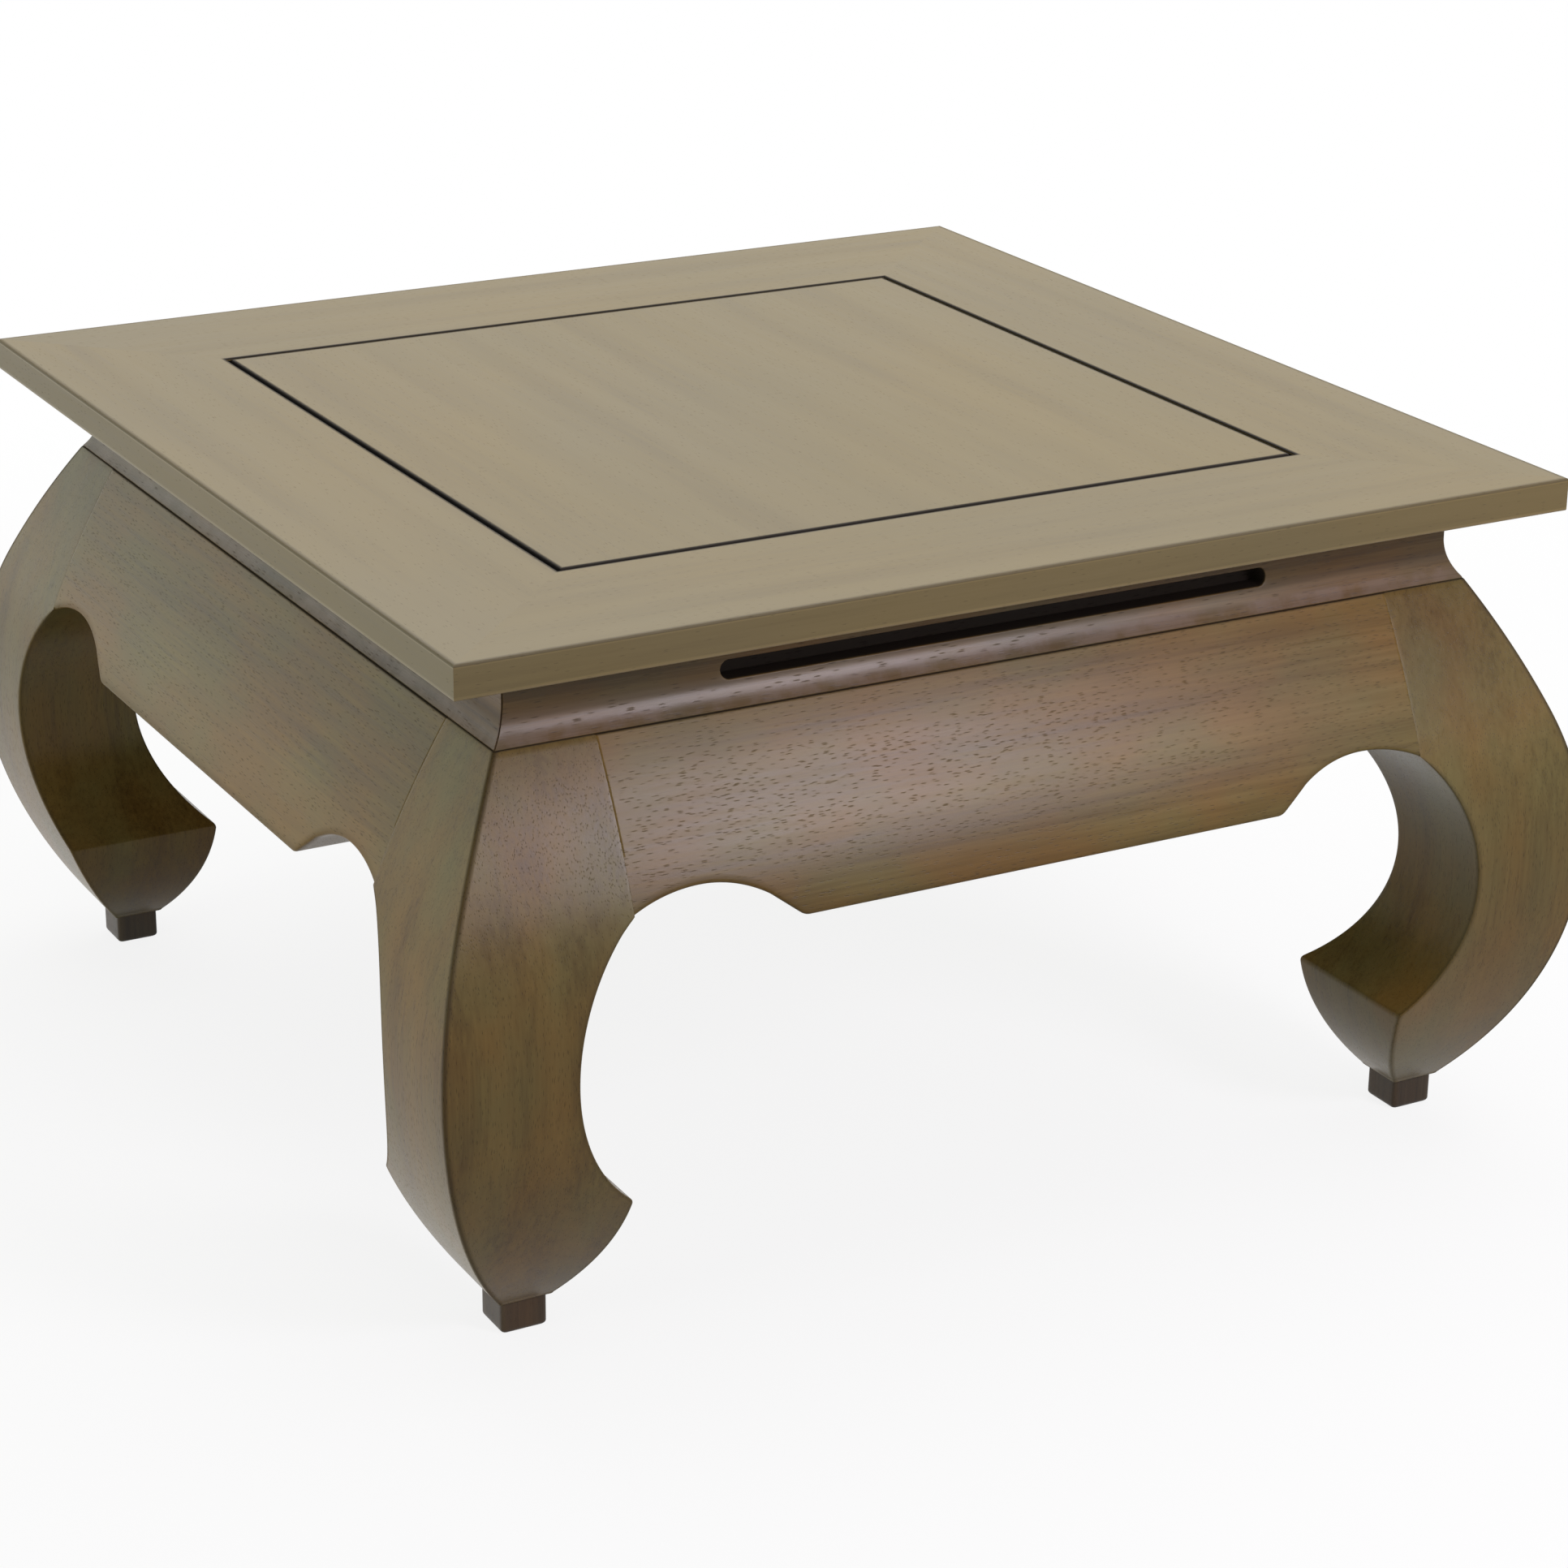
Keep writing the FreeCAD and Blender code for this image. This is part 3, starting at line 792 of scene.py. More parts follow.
class SplineSet(DressedTree):
    """Sets one mitre spline in each corner of the top frame."""

    def __init__(self) -> None:
        """Builds the tree: a square of four points on the mitres, with a spline on each."""
        super().__init__("spline_set", {"Reach": 0.4, "Height": 0.4})
        corners = self.put("GeometryNodeMeshCircle", {"Vertices": 4, "Radius": self.given["Reach"]})
        eighth = self.put("FunctionNodeEulerToRotation", {0: (0.0, 0.0, QUARTER / 2)})
        lift = self.put("ShaderNodeCombineXYZ", {"Z": self.given["Height"]})
        feeds = {"Rotation": eighth.outputs[0], "Translation": lift.outputs[0]}
        points = self.put("GeometryNodeTransform", {"Geometry": corners.outputs[0], **feeds})
        number = self.put("GeometryNodeInputIndex").outputs[0]
        angle = self.math("MULTIPLY", self.math("ADD", number, 0.5), QUARTER)
        feeds = {"Instance": self.given["Piece"], "Rotation": self.turned(angle)}
        copies = self.put("GeometryNodeInstanceOnPoints", {"Points": points.outputs[0], **feeds})
        self.dress(copies.outputs[0])


def show(mesh: bpy.types.Mesh, name: str, node: str) -> None:
    """Puts a finished mesh in the scene in the place of the solid that it stands for.

    Args:
        mesh: the mesh, already in its place.
        name: name of the piece.
        node: the solid that it stands for.
    """
    mesh.name = name
    piece = bpy.data.objects.new(name, mesh)
    bpy.context.scene.collection.objects.link(piece)
    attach(piece, BODY)
    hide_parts(node)
    LOG.info("%s: %d faces", name, len(mesh.polygons))


@dataclass(frozen=True)
class Repeat:
    """A piece that stands on all sides or in all corners.

    Attributes:
        mesh: the one of the back side or the back right corner.
        part: how the names of its solids start.
        ending: how the names of its pieces end.
        slot: a name for its finish, not used.
        wood: name of its wood; on the sides, without the way that it runs.
    """

    mesh: bpy.types.Mesh
    part: str
    ending: str
    slot: str
    wood: str

    def at(self, place: Side | Corner, woods: Woods, turner: QuarterTurn) -> None:
        """Shows the piece in one place.

        Args:
            place: the place.
            woods: the table's woods by name.
            turner: carries pieces round the table.
        """
        wood = self.wood
        if isinstance(place, Side):
            wood += "_long" if place in (Side.FRONT, Side.BACK) else "_short"
        node = f"{self.part}_{place.name.lower()}"
        show(turner.piece(self.mesh, place.value, woods[wood]), f"{node}_{self.ending}", node)


# The table


@dataclass(frozen=True)
class Levels:
    """Heights, and distances from the middle, that the assemblies share.

    Attributes:
        table_top: height of the table.
        top_under: height of the top's underside.
        leg_top: height at which legs and aprons meet the waist.
        joint: height at which the arch meets the leg.
        toe: height of the toe.
        ankle: height of the legs' lower ends.
        top_reach: distance of the top's edge.
        waist_reach: distance of the waist's upper face.
        waist_inner: distance of the inner faces of waist and aprons.
        edge_reach: distance of the edge between waist and base.
        leg_inner: distance of the legs' inner faces at the joint.
        belly_reach: farthest distance of the bulge.
        belly: height of that.
        shoulder_reach: distance at which the bulge's two arcs meet.
        shoulder: height of that.
    """

    table_top: float = 460.0 * MM
    top_under: float = 438.0 * MM
    leg_top: float = 385.0 * MM
    joint: float = 286.3 * MM
    toe: float = 97.7 * MM
    ankle: float = 22.0 * MM
    top_reach: float = 400.0 * MM
    waist_reach: float = 345.0 * MM
    waist_inner: float = 322.0 * MM
    edge_reach: float = 355.5 * MM
    leg_inner: float = 289.0 * MM
    belly_reach: float = 422.0 * MM
    belly: float = 197.0 * MM
    shoulder_reach: float = 400.5 * MM
    shoulder: float = 300.0 * MM

    def bulge(self, height: np.ndarray) -> np.ndarray:
        """The outer line of legs and aprons from the belly up.

        Args:
            height: heights from the belly to the top of the legs.

        Returns:
            Distances from the middle of the table.
        """
        shoulder = (self.shoulder_reach, self.shoulder)
        lower = level_arc((self.belly_reach, self.belly), shoulder)
        upper = smooth_arc(lower, shoulder, (self.edge_reach, self.leg_top))
        return np.where(np.asarray(height) < self.shoulder, lower.at(height), upper.at(height))


@dataclass
class TableTop:
    """The mitred frame, its floating panel, and the battens and splines that hold them.

    Attributes:
        levels: the shared heights and reaches.
        frame_inner: distance of the frame's inner edge from the middle.
        panel_reach: distance of the panel's edge from the middle.
        groove_reach: distance of the groove's floor from the middle.
        tongue_reach: distance of the tongue's edge from the middle.
        tongue_top: height of the tongue's upper face.
        tongue_under: height of its lower face.
        edge_round: rounding of the outer edges.
        edge_stain_and_shade: edge mark of the outer faces, where the stain is deeper and shade is painted.
        edge_line: edge mark of the upper outer edges.
        under_rub: edge mark of the lower outer edges.
        arris: easing of the edges along the groove.
        groove_shade: edge mark of those edges, painted shade along the groove.
        board_ease: easing of the frame's inner edges underneath.
        panel_hub: half width of the panel's innermost square, as a share of the panel's reach.
        panel_squares: how many squares its face and its underside have.
        panel_sides: faces along each side of a square.
        batten_middle: distance of a batten's middle from the middle.
        batten_width: width of a batten.
        batten_under: height of its underside.
        batten_play: gap between a batten's end and the waist.
        batten_arris: easing of its lower edges.
        batten_rub: edge marks of those edges, unlike, so that the face between them stays plain.
        batten_ease: easing of its upper edges.
        spline_length: length of a spline.
        spline_width: its width.
        spline_thickness: its thickness.
        spline_low: height of its underside.
        spline_ease: easing of its edges.
    """

    levels: Levels
    frame_inner: float = 273.0 * MM
    panel_reach: float = 269.5 * MM
    groove_reach: float = 281.5 * MM
    tongue_reach: float = 280.5 * MM
    tongue_top: float = 452.0 * MM
    tongue_under: float = 446.0 * MM
    edge_round: float = 1.3 * MM
    edge_stain_and_shade: float = -0.21
    edge_line: float = -0.5
    under_rub: float = 0.8
    arris: float = 0.9 * MM
    groove_shade: float = -0.95
    board_ease: float = 0.5 * MM
    panel_hub: float = 0.02
    panel_squares: int = 14
    panel_sides: int = 16
    batten_middle: float = 149.5 * MM
    batten_width: float = 45.0 * MM
    batten_under: float = 416.0 * MM
    batten_play: float = 0.5 * MM
    batten_arris: float = 1.5 * MM
    batten_rub: Point = (0.6, 0.5)
    batten_ease: float = 0.3 * MM
    spline_length: float = 90.0 * MM
    spline_width: float = 24.0 * MM
    spline_thickness: float = 4.0 * MM
    spline_low: float = 441.0 * MM
    spline_ease: float = 0.4 * MM

    def frame_board(self) -> bpy.types.Mesh:
        """Builds the back board of the frame.

        Returns:
            Its mesh.
        """
        high, low = self.levels.table_top, self.levels.top_under
        outer, inner = self.levels.top_reach, self.frame_inner
        corners = [
            (inner, low, self.board_ease, 0.0),
            (outer, low, self.edge_round, self.under_rub),
            # The outer faces are darkened: deeper stain, and painted shade.
            (outer, low + 2 * self.edge_round, 0.0, self.edge_stain_and_shade),
            (outer, high - 2 * self.edge_round, 0.0, self.edge_stain_and_shade),
            (outer, high, self.edge_round, self.edge_line),
            # The groove's arris and walls carry painted shade, near black.
            (inner, high, self.arris, self.groove_shade),
            (inner, high - 2 * self.arris, 0.0, PAINTED_GROOVE_SHADE),
            (inner, self.tongue_top, 0.0, PAINTED_GROOVE_SHADE),
            (self.groove_reach, self.tongue_top, 0.0, PAINTED_GROOVE_SHADE),
            (self.groove_reach, self.tongue_under, 0.0, PAINTED_GROOVE_SHADE),
            (inner, self.tongue_under, 0.0, PAINTED_GROOVE_SHADE),
        ]
        section = eased_outline(corners, steps=6, cuts=board_cuts(longest=14 * MM))
        return swept("frame_board", section, section[:, 0], count=41)

    def panel(self) -> bpy.types.Mesh:
        """Builds the panel, a stack of squares from the middle of its face to that of its underside.

        Returns:
            Its mesh.
        """
        high, low = self.levels.table_top, self.levels.top_under
        edge, ease = self.panel_reach, self.arris
        shares = np.linspace(self.panel_hub, 1, self.panel_squares)
        line = [(share * (edge - 3 * ease), high, 0.0) for share in shares]
        bend = eased((edge - ease, high), (edge, high), (edge, high - ease), steps=5)
        # The panel's edge along the groove carries the same painted shade.
        line += [(*point, self.groove_shade) for point in bend]
        line += [
            (edge, high - 2 * ease, PAINTED_GROOVE_SHADE),
            (edge, self.tongue_top, PAINTED_GROOVE_SHADE),
            (self.tongue_reach, self.tongue_top, PAINTED_GROOVE_SHADE),
            (self.tongue_reach, self.tongue_under, 0.0),
            (edge, self.tongue_under, 0.0),
            (edge, low, 0.0),
        ]
        shares = np.linspace(1 - self.panel_hub, self.panel_hub, self.panel_squares)
        line += [(share * edge, low, 0.0) for share in shares]
        run = np.linspace(-1, 1, self.panel_sides + 1)[:-1]
        front = np.column_stack([run, -np.ones_like(run)])
        right = front[:, ::-1] * (-1, 1)
        square = np.concatenate([front, right, -front, -right])
        rings = [np.hstack([square * across, np.tile(rest, (len(square), 1))]) for across, *rest in line]
        return closed_mesh("panel", rings)

    def batten(self, end: int) -> bpy.types.Mesh:
        """Builds one batten, in front of the middle or behind it.

        Args:
            end: -1 for the front one, 1 for the back one.

        Returns:
            Its mesh.
        """
        middle, half = self.batten_middle * end, self.batten_width / 2
        under, over = self.batten_under, self.levels.top_under
        corners = [
            (middle - half, under, self.batten_arris, self.batten_rub[0]),
            (middle + half, under, self.batten_arris, self.batten_rub[1]),
            (middle + half, over, self.batten_ease, 0.0),
            (middle - half, over, self.batten_ease, 0.0),
        ]
        section = eased_outline(corners, steps=4, cuts=board_cuts(longest=12 * MM))
        return swept("batten", section, self.levels.waist_inner - self.batten_play, count=25)

    def spline(self) -> bpy.types.Mesh:
        """Builds one mitre spline about the origin, along the first axis.

        Returns:
            Its mesh.
        """
        half, thick = self.spline_width / 2, self.spline_thickness / 2
        spots = [(-half, -thick), (half, -thick), (half, thick), (-half, thick)]
        corners = [(*spot, self.spline_ease, 0.0) for spot in spots]
        section = eased_outline(corners, steps=3, cuts=board_cuts(longest=8 * MM))
        return swept("spline", section, self.spline_length / 2, count=9)

    def build(self, woods: Woods, turner: QuarterTurn, splines: SplineSet) -> None:
        """Builds and dresses the top.

        Args:
            woods: the table's woods by name.
            turner: carries pieces round the table.
            splines: sets the mitre splines.
        """
        board = Repeat(self.frame_board(), "top_frame", "board", "top_frame_wood", "top_frame")
        for side in Side:
            board.at(side, woods, turner)
        panel = turner.piece(self.panel(), 0, woods["top_panel"])
        show(panel, "top_panel_boards", "top_panel")
        for end, place in ((-1, "front"), (1, "back")):
            node = f"panel_batten_{place}"
            show(turner.piece(self.batten(end), 0, woods["plain_batten"]), f"{node}_bar", node)
        values = {
            "Reach": (self.frame_inner + self.levels.top_reach) / 2 * math.sqrt(2),
            "Height": self.spline_low + self.spline_thickness / 2,
            "Wood": woods["plain_spline"],
        }
        show(splines.evaluated(self.spline(), values), "mitre_spline_set", "mitre_splines")


@dataclass
class Waist:
    """The coved boards under the top, each with a long blind slot, and the posts in their corners.

    Attributes:
        levels: the shared heights and reaches.
        cove_head: height at which the cove ends.
        slot_low: height of the slot's lower edge.
        slot_width: width of the slot.
        slot_reach: distance of the slot's ends from the middle.
        slot_depth: how far the slot goes into the board.
        slot_ease: easing of the slot's edge.
        slot_shade: edge mark of the slot's walls, painted shade that darkens the recess.
        slot_rim: edge marks over the slot's eased edge, from its wall out: painted shade that fades, then a
            faint rubbed lip.
        lip_sheen_and_hollow_shade: heights and edge marks, from the pale lip, a painted sheen, up to the
            painted shadow of the top in the cove's hollow.
        arris: easing along the foot and the mitres.
        seam_shade: edge mark along them, painted shade that darkens the joint lines.
        rim_bend: share of the board's half length at which the lines of its faces start to fan out.
        straight_sides: faces along each straight stretch of the slot.
        end_sides: faces round each end of it; a multiple of 4.
        face_rings: rings of faces between the slot and the board's edges.
        face_spread: how much closer they stand at the slot.
        block_width: width of a corner post.
        block_eases: easings of its inmost, side and outmost edges.
    """

    levels: Levels
    cove_head: float = 412.0 * MM
    slot_low: float = 401.0 * MM
    slot_width: float = 12.0 * MM
    slot_reach: float = 200.0 * MM
    slot_depth: float = 13.0 * MM
    slot_ease: float = 0.8 * MM
    # The slot's walls and the inner part of its rim carry painted shade.
    slot_shade: float = -0.95
    slot_rim: tuple[float, ...] = (-0.8, -0.5, -0.2, 0.1, 0.1, 0.0)
    # On the cove: a pale lip of painted sheen, then a band of painted shadow cast by the top.
    lip_sheen_and_hollow_shade: tuple[Point, ...] = (
        (391.5 * MM, 0.7),
        (394.5 * MM, 0.0),
        (396.5 * MM, 0.0),
        (400.0 * MM, -0.34),
        (404.0 * MM, -0.2),
        (408.0 * MM, 0.0),
    )
    arris: float = 0.9 * MM
    seam_shade: float = -0.9
    rim_bend: float = 0.62
    straight_sides: int = 64
    end_sides: int = 48
    face_rings: int = 16
    face_spread: float = 1.3
    block_width: float = 33.0 * MM
    block_eases: Place = (1.2 * MM, 1.2 * MM, 0.3 * MM)

    def face(self, height: np.ndarray) -> np.ndarray:
        """The outer face of a board: hollow below, upright above.

        Args:
            height: heights within the board.

        Returns:
            Distances from the middle of the table.
        """
        head = (self.levels.waist_reach, self.cove_head)
        cove = level_arc(head, (self.levels.edge_reach, self.levels.leg_top))
        return np.where(np.asarray(height) < self.cove_head, cove.at(height), self.levels.waist_reach)

    def long_loop(self, right: np.ndarray, straight: float) -> np.ndarray:
        """A long closed line: its right end, the upper side, the left end and the lower side.

        Args:
            right: points of the right end, from the bottom up.
            straight: how far the straight sides go from the middle.

        Returns:
            The points.
        """
        run = np.linspace(straight, -straight, self.straight_sides + 1)[1:-1]
        upper, lower = (np.column_stack([run, np.full_like(run, right[end, 1])]) for end in (-1, 0))
        return np.concatenate([right, upper, right[::-1] * (-1, 1), lower[::-1]])

    def slot_line(self, grown: float) -> np.ndarray:
        """The slot's outline, or a line outside it.

        Args:
            grown: how far outside the slot's own edge the line runs.

        Returns:
            Sideways places and heights.
        """
        radius = self.slot_width / 2 + grown
        straight = self.slot_reach - self.slot_width / 2
        turns = np.linspace(-QUARTER, QUARTER, self.end_sides + 1)
        bend = np.column_stack([np.cos(turns), np.sin(turns)])
        return self.long_loop((straight, self.slot_low + self.slot_width / 2) + radius * bend, straight)

    def rim(self, inset: float) -> np.ndarray:
        """The board's own outline, with as many points as the slot's and in the same order.

        Args:
            inset: how far inside the edge the line runs.

        Returns:
            Shares of the board's half length, and heights.
        """
        low, high = self.levels.leg_top + inset, self.levels.top_under - inset
        end = 1.0 - inset / self.levels.waist_reach
        out = np.linspace(self.rim_bend, end, self.end_sides // 4 + 1)
        rise = np.linspace(low, high, self.end_sides // 2 + 1)
        lines = ((out, low), (end, rise), (out[::-1], high))
        foot, side, head = (np.column_stack(np.broadcast_arrays(*line)) for line in lines)
        return self.long_loop(np.concatenate([foot, side[1:], head[1:]]), self.rim_bend)

    def board(self) -> bpy.types.Mesh:
        """Builds the back board, its faces laid in rings round the slot.

        Returns:
            Its mesh.
        """
        # The cove's painted sheen and the top's painted shadow, by height.
        heights, sheen_and_shade_marks = zip(*self.lip_sheen_and_hollow_shade)

        def ring(flat: np.ndarray, depth: np.ndarray, mark: float = 0.0) -> np.ndarray:
            """A ring of points at a depth, with an edge mark or else the painted sheen and shadow of its
            heights.
            """
            marks = np.full(len(flat), mark) if mark else np.interp(flat[:, 1], heights, sheen_and_shade_marks)
            return np.column_stack([flat[:, 0], depth, flat[:, 1], marks])

        ease = self.slot_ease
        floor = self.levels.waist_reach - self.slot_depth
        slot, outside = self.slot_line(0.0), self.slot_line(ease)
        wall = self.face(slot[:, 1]) - ease
        wall_shares = (0.0, 0.25, 0.6, 0.85)
        # The slot's floor and walls are darkened with painted shade.
        rings = [ring(slot, floor + (wall - floor) * share, self.slot_shade) for share in wall_shares]
        for turn, mark in zip(np.linspace(0.0, QUARTER, len(self.slot_rim)), self.slot_rim):
            grown = self.slot_line(ease * (1 - math.cos(turn)))
            rings.append(ring(grown, self.face(grown[:, 1]) - ease * (1 - math.sin(turn)), mark))
        rim, edge = self.rim(self.arris), self.rim(0.0)
        border = np.column_stack([rim[:, 0] * self.face(rim[:, 1]), rim[:, 1]])
        for share in np.linspace(0.0, 1.0, self.face_rings + 1)[1:]:
            flat = outside + (border - outside) * share**self.face_spread
            rings.append(ring(flat, self.face(flat[:, 1])))
        inner = np.full(len(edge), self.levels.waist_inner)
        # The foot and the mitres carry painted shade along their joint lines.
        for depth, mark in ((self.face(edge[:, 1]) - self.arris, self.seam_shade), (inner, 0.0)):
            rings.append(ring(np.column_stack([edge[:, 0] * depth, edge[:, 1]]), depth, mark))
        return closed_mesh("waist_board", rings)

    def block(self) -> bpy.types.Mesh:
        """Builds the post in the back right corner.

        Returns:
            Its mesh.
        """
        near, far = self.levels.waist_inner - self.block_width, self.levels.waist_inner
        heights = np.linspace(self.levels.leg_top, self.levels.top_under, 9)
        return post("corner_block", [Ring(near, far, height, self.block_eases) for height in heights])

    def build(self, woods: Woods, turner: QuarterTurn) -> None:
        """Builds and dresses the waist.

        Args:
            woods: the table's woods by name.
            turner: carries pieces round the table.
        """
        board = Repeat(self.board(), "waist", "board", "waist_wood", "waist")
        block = Repeat(self.block(), "corner_block", "post", "batten_wood", "plain_block")
        for repeat, places in ((board, Side), (block, Corner)):
            for place in places:
                repeat.at(place, woods, turner)


@dataclass
class Base:
    """The bulging aprons, the hoof-footed legs and the pads under them.

    Attributes:
        levels: the shared heights and reaches.
        hollow_reach: distance of the hollow's deepest point from the middle.
        sole_radius: radius of the sole under the toe.
        toe_round: rounding of the toe.
        ankle_inner: distance of the ankle's inner side from the middle.
        ankle_outer: distance of its outer side.
        peak: sideways place and height of the arch's peak beside a leg.
        ramp_head: sideways place and height of the scallop's lower end.
        ramp_foot: sideways place and height of the ramp's lower end.
        ramp_round: rounding at the ramp's lower end.
        hem: rounding of the apron's lower edge.
        hem_stain: edge mark of that edge.
        apron_ease: easing of the apron's inner lower edge.
        arris: easing of the legs' upright edges.
        ankle_stain: edge mark of a leg's lower end.
        outer_stain: edge mark of its outmost edge.
        side_stain: edge mark of its side edges, below the joint.
        seam: easing along the joint with the waist.
        seam_shade: edge mark along it, painted shade that darkens the joint line.
        seam_shade_fade: edge mark of the apron just below it, where that painted shade fades.
        butt: easing along the joints between legs and aprons.
        butt_blend: height over which a leg's easing narrows to that.
        pad_middle: distance of a pad's middle from the middle of the table, in both directions.
        pad_width: width of a pad.
        pad_round: easing of a pad's edges.
    """

    levels: Levels
    hollow_reach: float = 333.0 * MM
    sole_radius: float = 130.0 * MM
    toe_round: float = 5.0 * MM
    ankle_inner: float = 324.5 * MM
    ankle_outer: float = 359.5 * MM
    peak: Point = (243.0 * MM, 296.0 * MM)
    ramp_head: Point = (197.0 * MM, 283.0 * MM)
    ramp_foot: Point = (176.0 * MM, 267.0 * MM)
    ramp_round: float = 10.0 * MM
    hem: float = 3.0 * MM
    hem_stain: float = -0.2
    apron_ease: float = 1.5 * MM
    arris: float = 1.4 * MM
    ankle_stain: float = -0.5
    outer_stain: float = -0.6
    side_stain: float = -0.35
    seam: float = 0.7 * MM
    seam_shade: float = -0.9
    seam_shade_fade: float = -0.4
    butt: float = 0.06 * MM
    butt_blend: float = 10.0 * MM
    pad_middle: float = 342.0 * MM
    pad_width: float = 31.0 * MM
    pad_round: float = 3.0 * MM

    def leg_outer(self, height: np.ndarray) -> np.ndarray:
        """The outer line of a leg.

        Args:
            height: heights from the ankle up.

        Returns:
            Distances from the middle of the table.
        """
        belly = (self.levels.belly_reach, self.levels.belly)
        shin = level_arc(belly, (self.ankle_outer, self.levels.ankle))
        return np.where(np.asarray(height) < self.levels.belly, shin.at(height), self.levels.bulge(height))

    def leg_inner(self, height: np.ndarray) -> np.ndarray:
        """The inner line of a leg: sole, rounded toe, hollow, and upright at the joint with the apron.

        Args:
            height: heights from the ankle up.

        Returns:
            Distances from the middle of the table.
        """
        joint = (self.levels.leg_inner, self.levels.joint)
        hollow = level_arc((self.hollow_reach, (self.levels.toe + self.levels.joint) / 2), joint)
        toe = np.array([self.levels.leg_inner, self.levels.toe])
        ankle = np.array([self.ankle_inner, self.levels.ankle])
        chord = ankle - toe
        square = np.array([-chord[1], chord[0]]) / np.linalg.norm(chord)
        rise = math.sqrt(self.sole_radius**2 - (chord @ chord) / 4)
        centre = (toe + ankle) / 2 + square * rise
        sole = Arc(float(centre[0]), float(centre[1]), -self.sole_radius)
        first = np.array([hollow.across, hollow.up])
        between = centre - first
        apart = np.linalg.norm(between)
        near, far = hollow.radius + self.toe_round, self.sole_radius - self.toe_round
        share = (near**2 - far**2 + apart**2) / (2 * apart)
        offset = math.sqrt(near**2 - share**2)
        unit = between / apart
        middle = first + unit * share + np.array([unit[1], -unit[0]]) * offset
        tip = Arc(float(middle[0]), float(middle[1]), -self.toe_round)
        upper = first + (middle - first) * hollow.radius / near
        lower = centre + (middle - centre) * self.sole_radius / far
        heights = np.asarray(height)
        line = np.where(heights < upper[1], tip.at(heights), hollow.at(heights))
        line = np.where(heights < lower[1], sole.at(heights), line)
        return np.where(heights > self.levels.joint, self.levels.leg_inner, line)

    def leg(self) -> bpy.types.Mesh:
        """Builds the leg of the back right corner, square at every level.

        Returns:
            Its mesh.
        """
        bottom, top, ease = self.levels.ankle, self.levels.leg_top, self.arris
        toe, joint = self.levels.toe, self.levels.joint
        # The rings stand closer together at the toe and at the joint with the apron
        spans = (
            (bottom + ease, toe - 9 * MM, 26),
            (toe - 8 * MM, toe + 10 * MM, 25),
            (toe + 12 * MM, joint - 12 * MM, 58),
            (joint - 11 * MM, joint + 4 * MM, 16),
            (joint + 8 * MM, top - self.seam, 26),
        )
        heights = np.concatenate([np.linspace(*span) for span in spans])
        blend = np.clip((heights - (joint - self.butt_blend)) / self.butt_blend, 0.0, 1.0)
        sides = ease + (self.butt - ease) * blend * blend * (3 - 2 * blend)
        near, far = self.leg_inner(heights), self.leg_outer(heights)
        rings = []
        ankle_shares = (0.0, 0.3, 0.65)
        for share in ankle_shares:
            inset = ease * (1 - share) ** 2
            ends = near[0] + inset, far[0] - inset
            rings.append(Ring(*ends, bottom + ease * share, (ease,) * 3, (self.ankle_stain,) * 3))
        for height, inner, outer, side in zip(heights, near, far, sides):
            marks = (0.0, self.side_stain if height < joint else 0.0, self.outer_stain)
            rings.append(Ring(inner, outer, height, (ease, side, ease), marks))
        ends = near[-1] + self.seam, far[-1] - self.seam
        # The top ring carries painted shade along the joint with the waist.
        rings.append(Ring(*ends, top, (ease, self.butt, ease), (self.seam_shade,) * 3))
        return post("leg", rings)

    def apron_under(self, sideways: np.ndarray) -> np.ndarray:
        """The apron's lower edge: level, a rounded ramp, a scallop, and an arch down to the leg.

        Args:
            sideways: places from the middle of the apron, at or right of it.

        Returns:
            Heights.
        """
        joint = (self.levels.leg_inner, self.levels.joint)
        places = np.asarray(sideways)
        heights = np.full_like(places, self.ramp_foot[1])
        slope = (self.ramp_head[1] - self.ramp_foot[1]) / (self.ramp_head[0] - self.ramp_foot[0])
        lean = math.atan(slope)
        start = self.ramp_foot[0] - self.ramp_round * math.tan(lean / 2)
        stop = start + self.ramp_round * math.sin(lean)
        swing = np.sqrt(np.maximum(self.ramp_round**2 - (places - start) ** 2, 0.0))
        heights = np.where(places > start, self.ramp_foot[1] + self.ramp_round - swing, heights)
        ramp = self.ramp_foot[1] + slope * (places - self.ramp_foot[0])
        heights = np.where(places > stop, ramp, heights)
        for begin, end in ((self.ramp_head, self.peak), (joint, self.peak)):
            run, fall = end[0] - begin[0], end[1] - begin[1]
            radius = (run**2 + fall**2) / (2 * fall)
            arch = end[1] - radius + np.sqrt(np.maximum(radius**2 - (places - end[0]) ** 2, 0.0))
            span = (places > begin[0]) & (places <= end[0]) if run > 0 else places > end[0]
            heights = np.where(span, arch, heights)
        return heights

    def apron_section(self, under: float, pulled: float) -> list[Place]:
        """The apron's section at one place, from its inner lower edge round to its inner face.

        Args:
            under: height of the lower edge there.
            pulled: how far the outer face is drawn in.

        Returns:
            Distances from the middle, heights and edge marks.
        """
        inner, top, hem, seam = self.levels.waist_inner, self.levels.leg_top, self.hem, self.seam

        def face(height: float) -> float:
            """Distance of the outer face at a height."""
            return float(self.levels.bulge(height)) - pulled

        start, low, edge = under + hem, face(under), face(top)
        underside = (inner + self.apron_ease, inner + 8 * MM, low - 4 * hem, low - 2 * hem)
        section = [(across, under, 0.0) for across in underside]
        bend = eased((low - hem, under), (low, under), (face(start), start), steps=6)
        section += [(*point, self.hem_stain) for point in bend]
        section += [(face(height), height, 0.0) for height in np.linspace(start, top - 2 * seam, 30)[1:]]
        bend = eased((face(top - seam), top - seam), (edge, top), (edge - seam, top), steps=3)
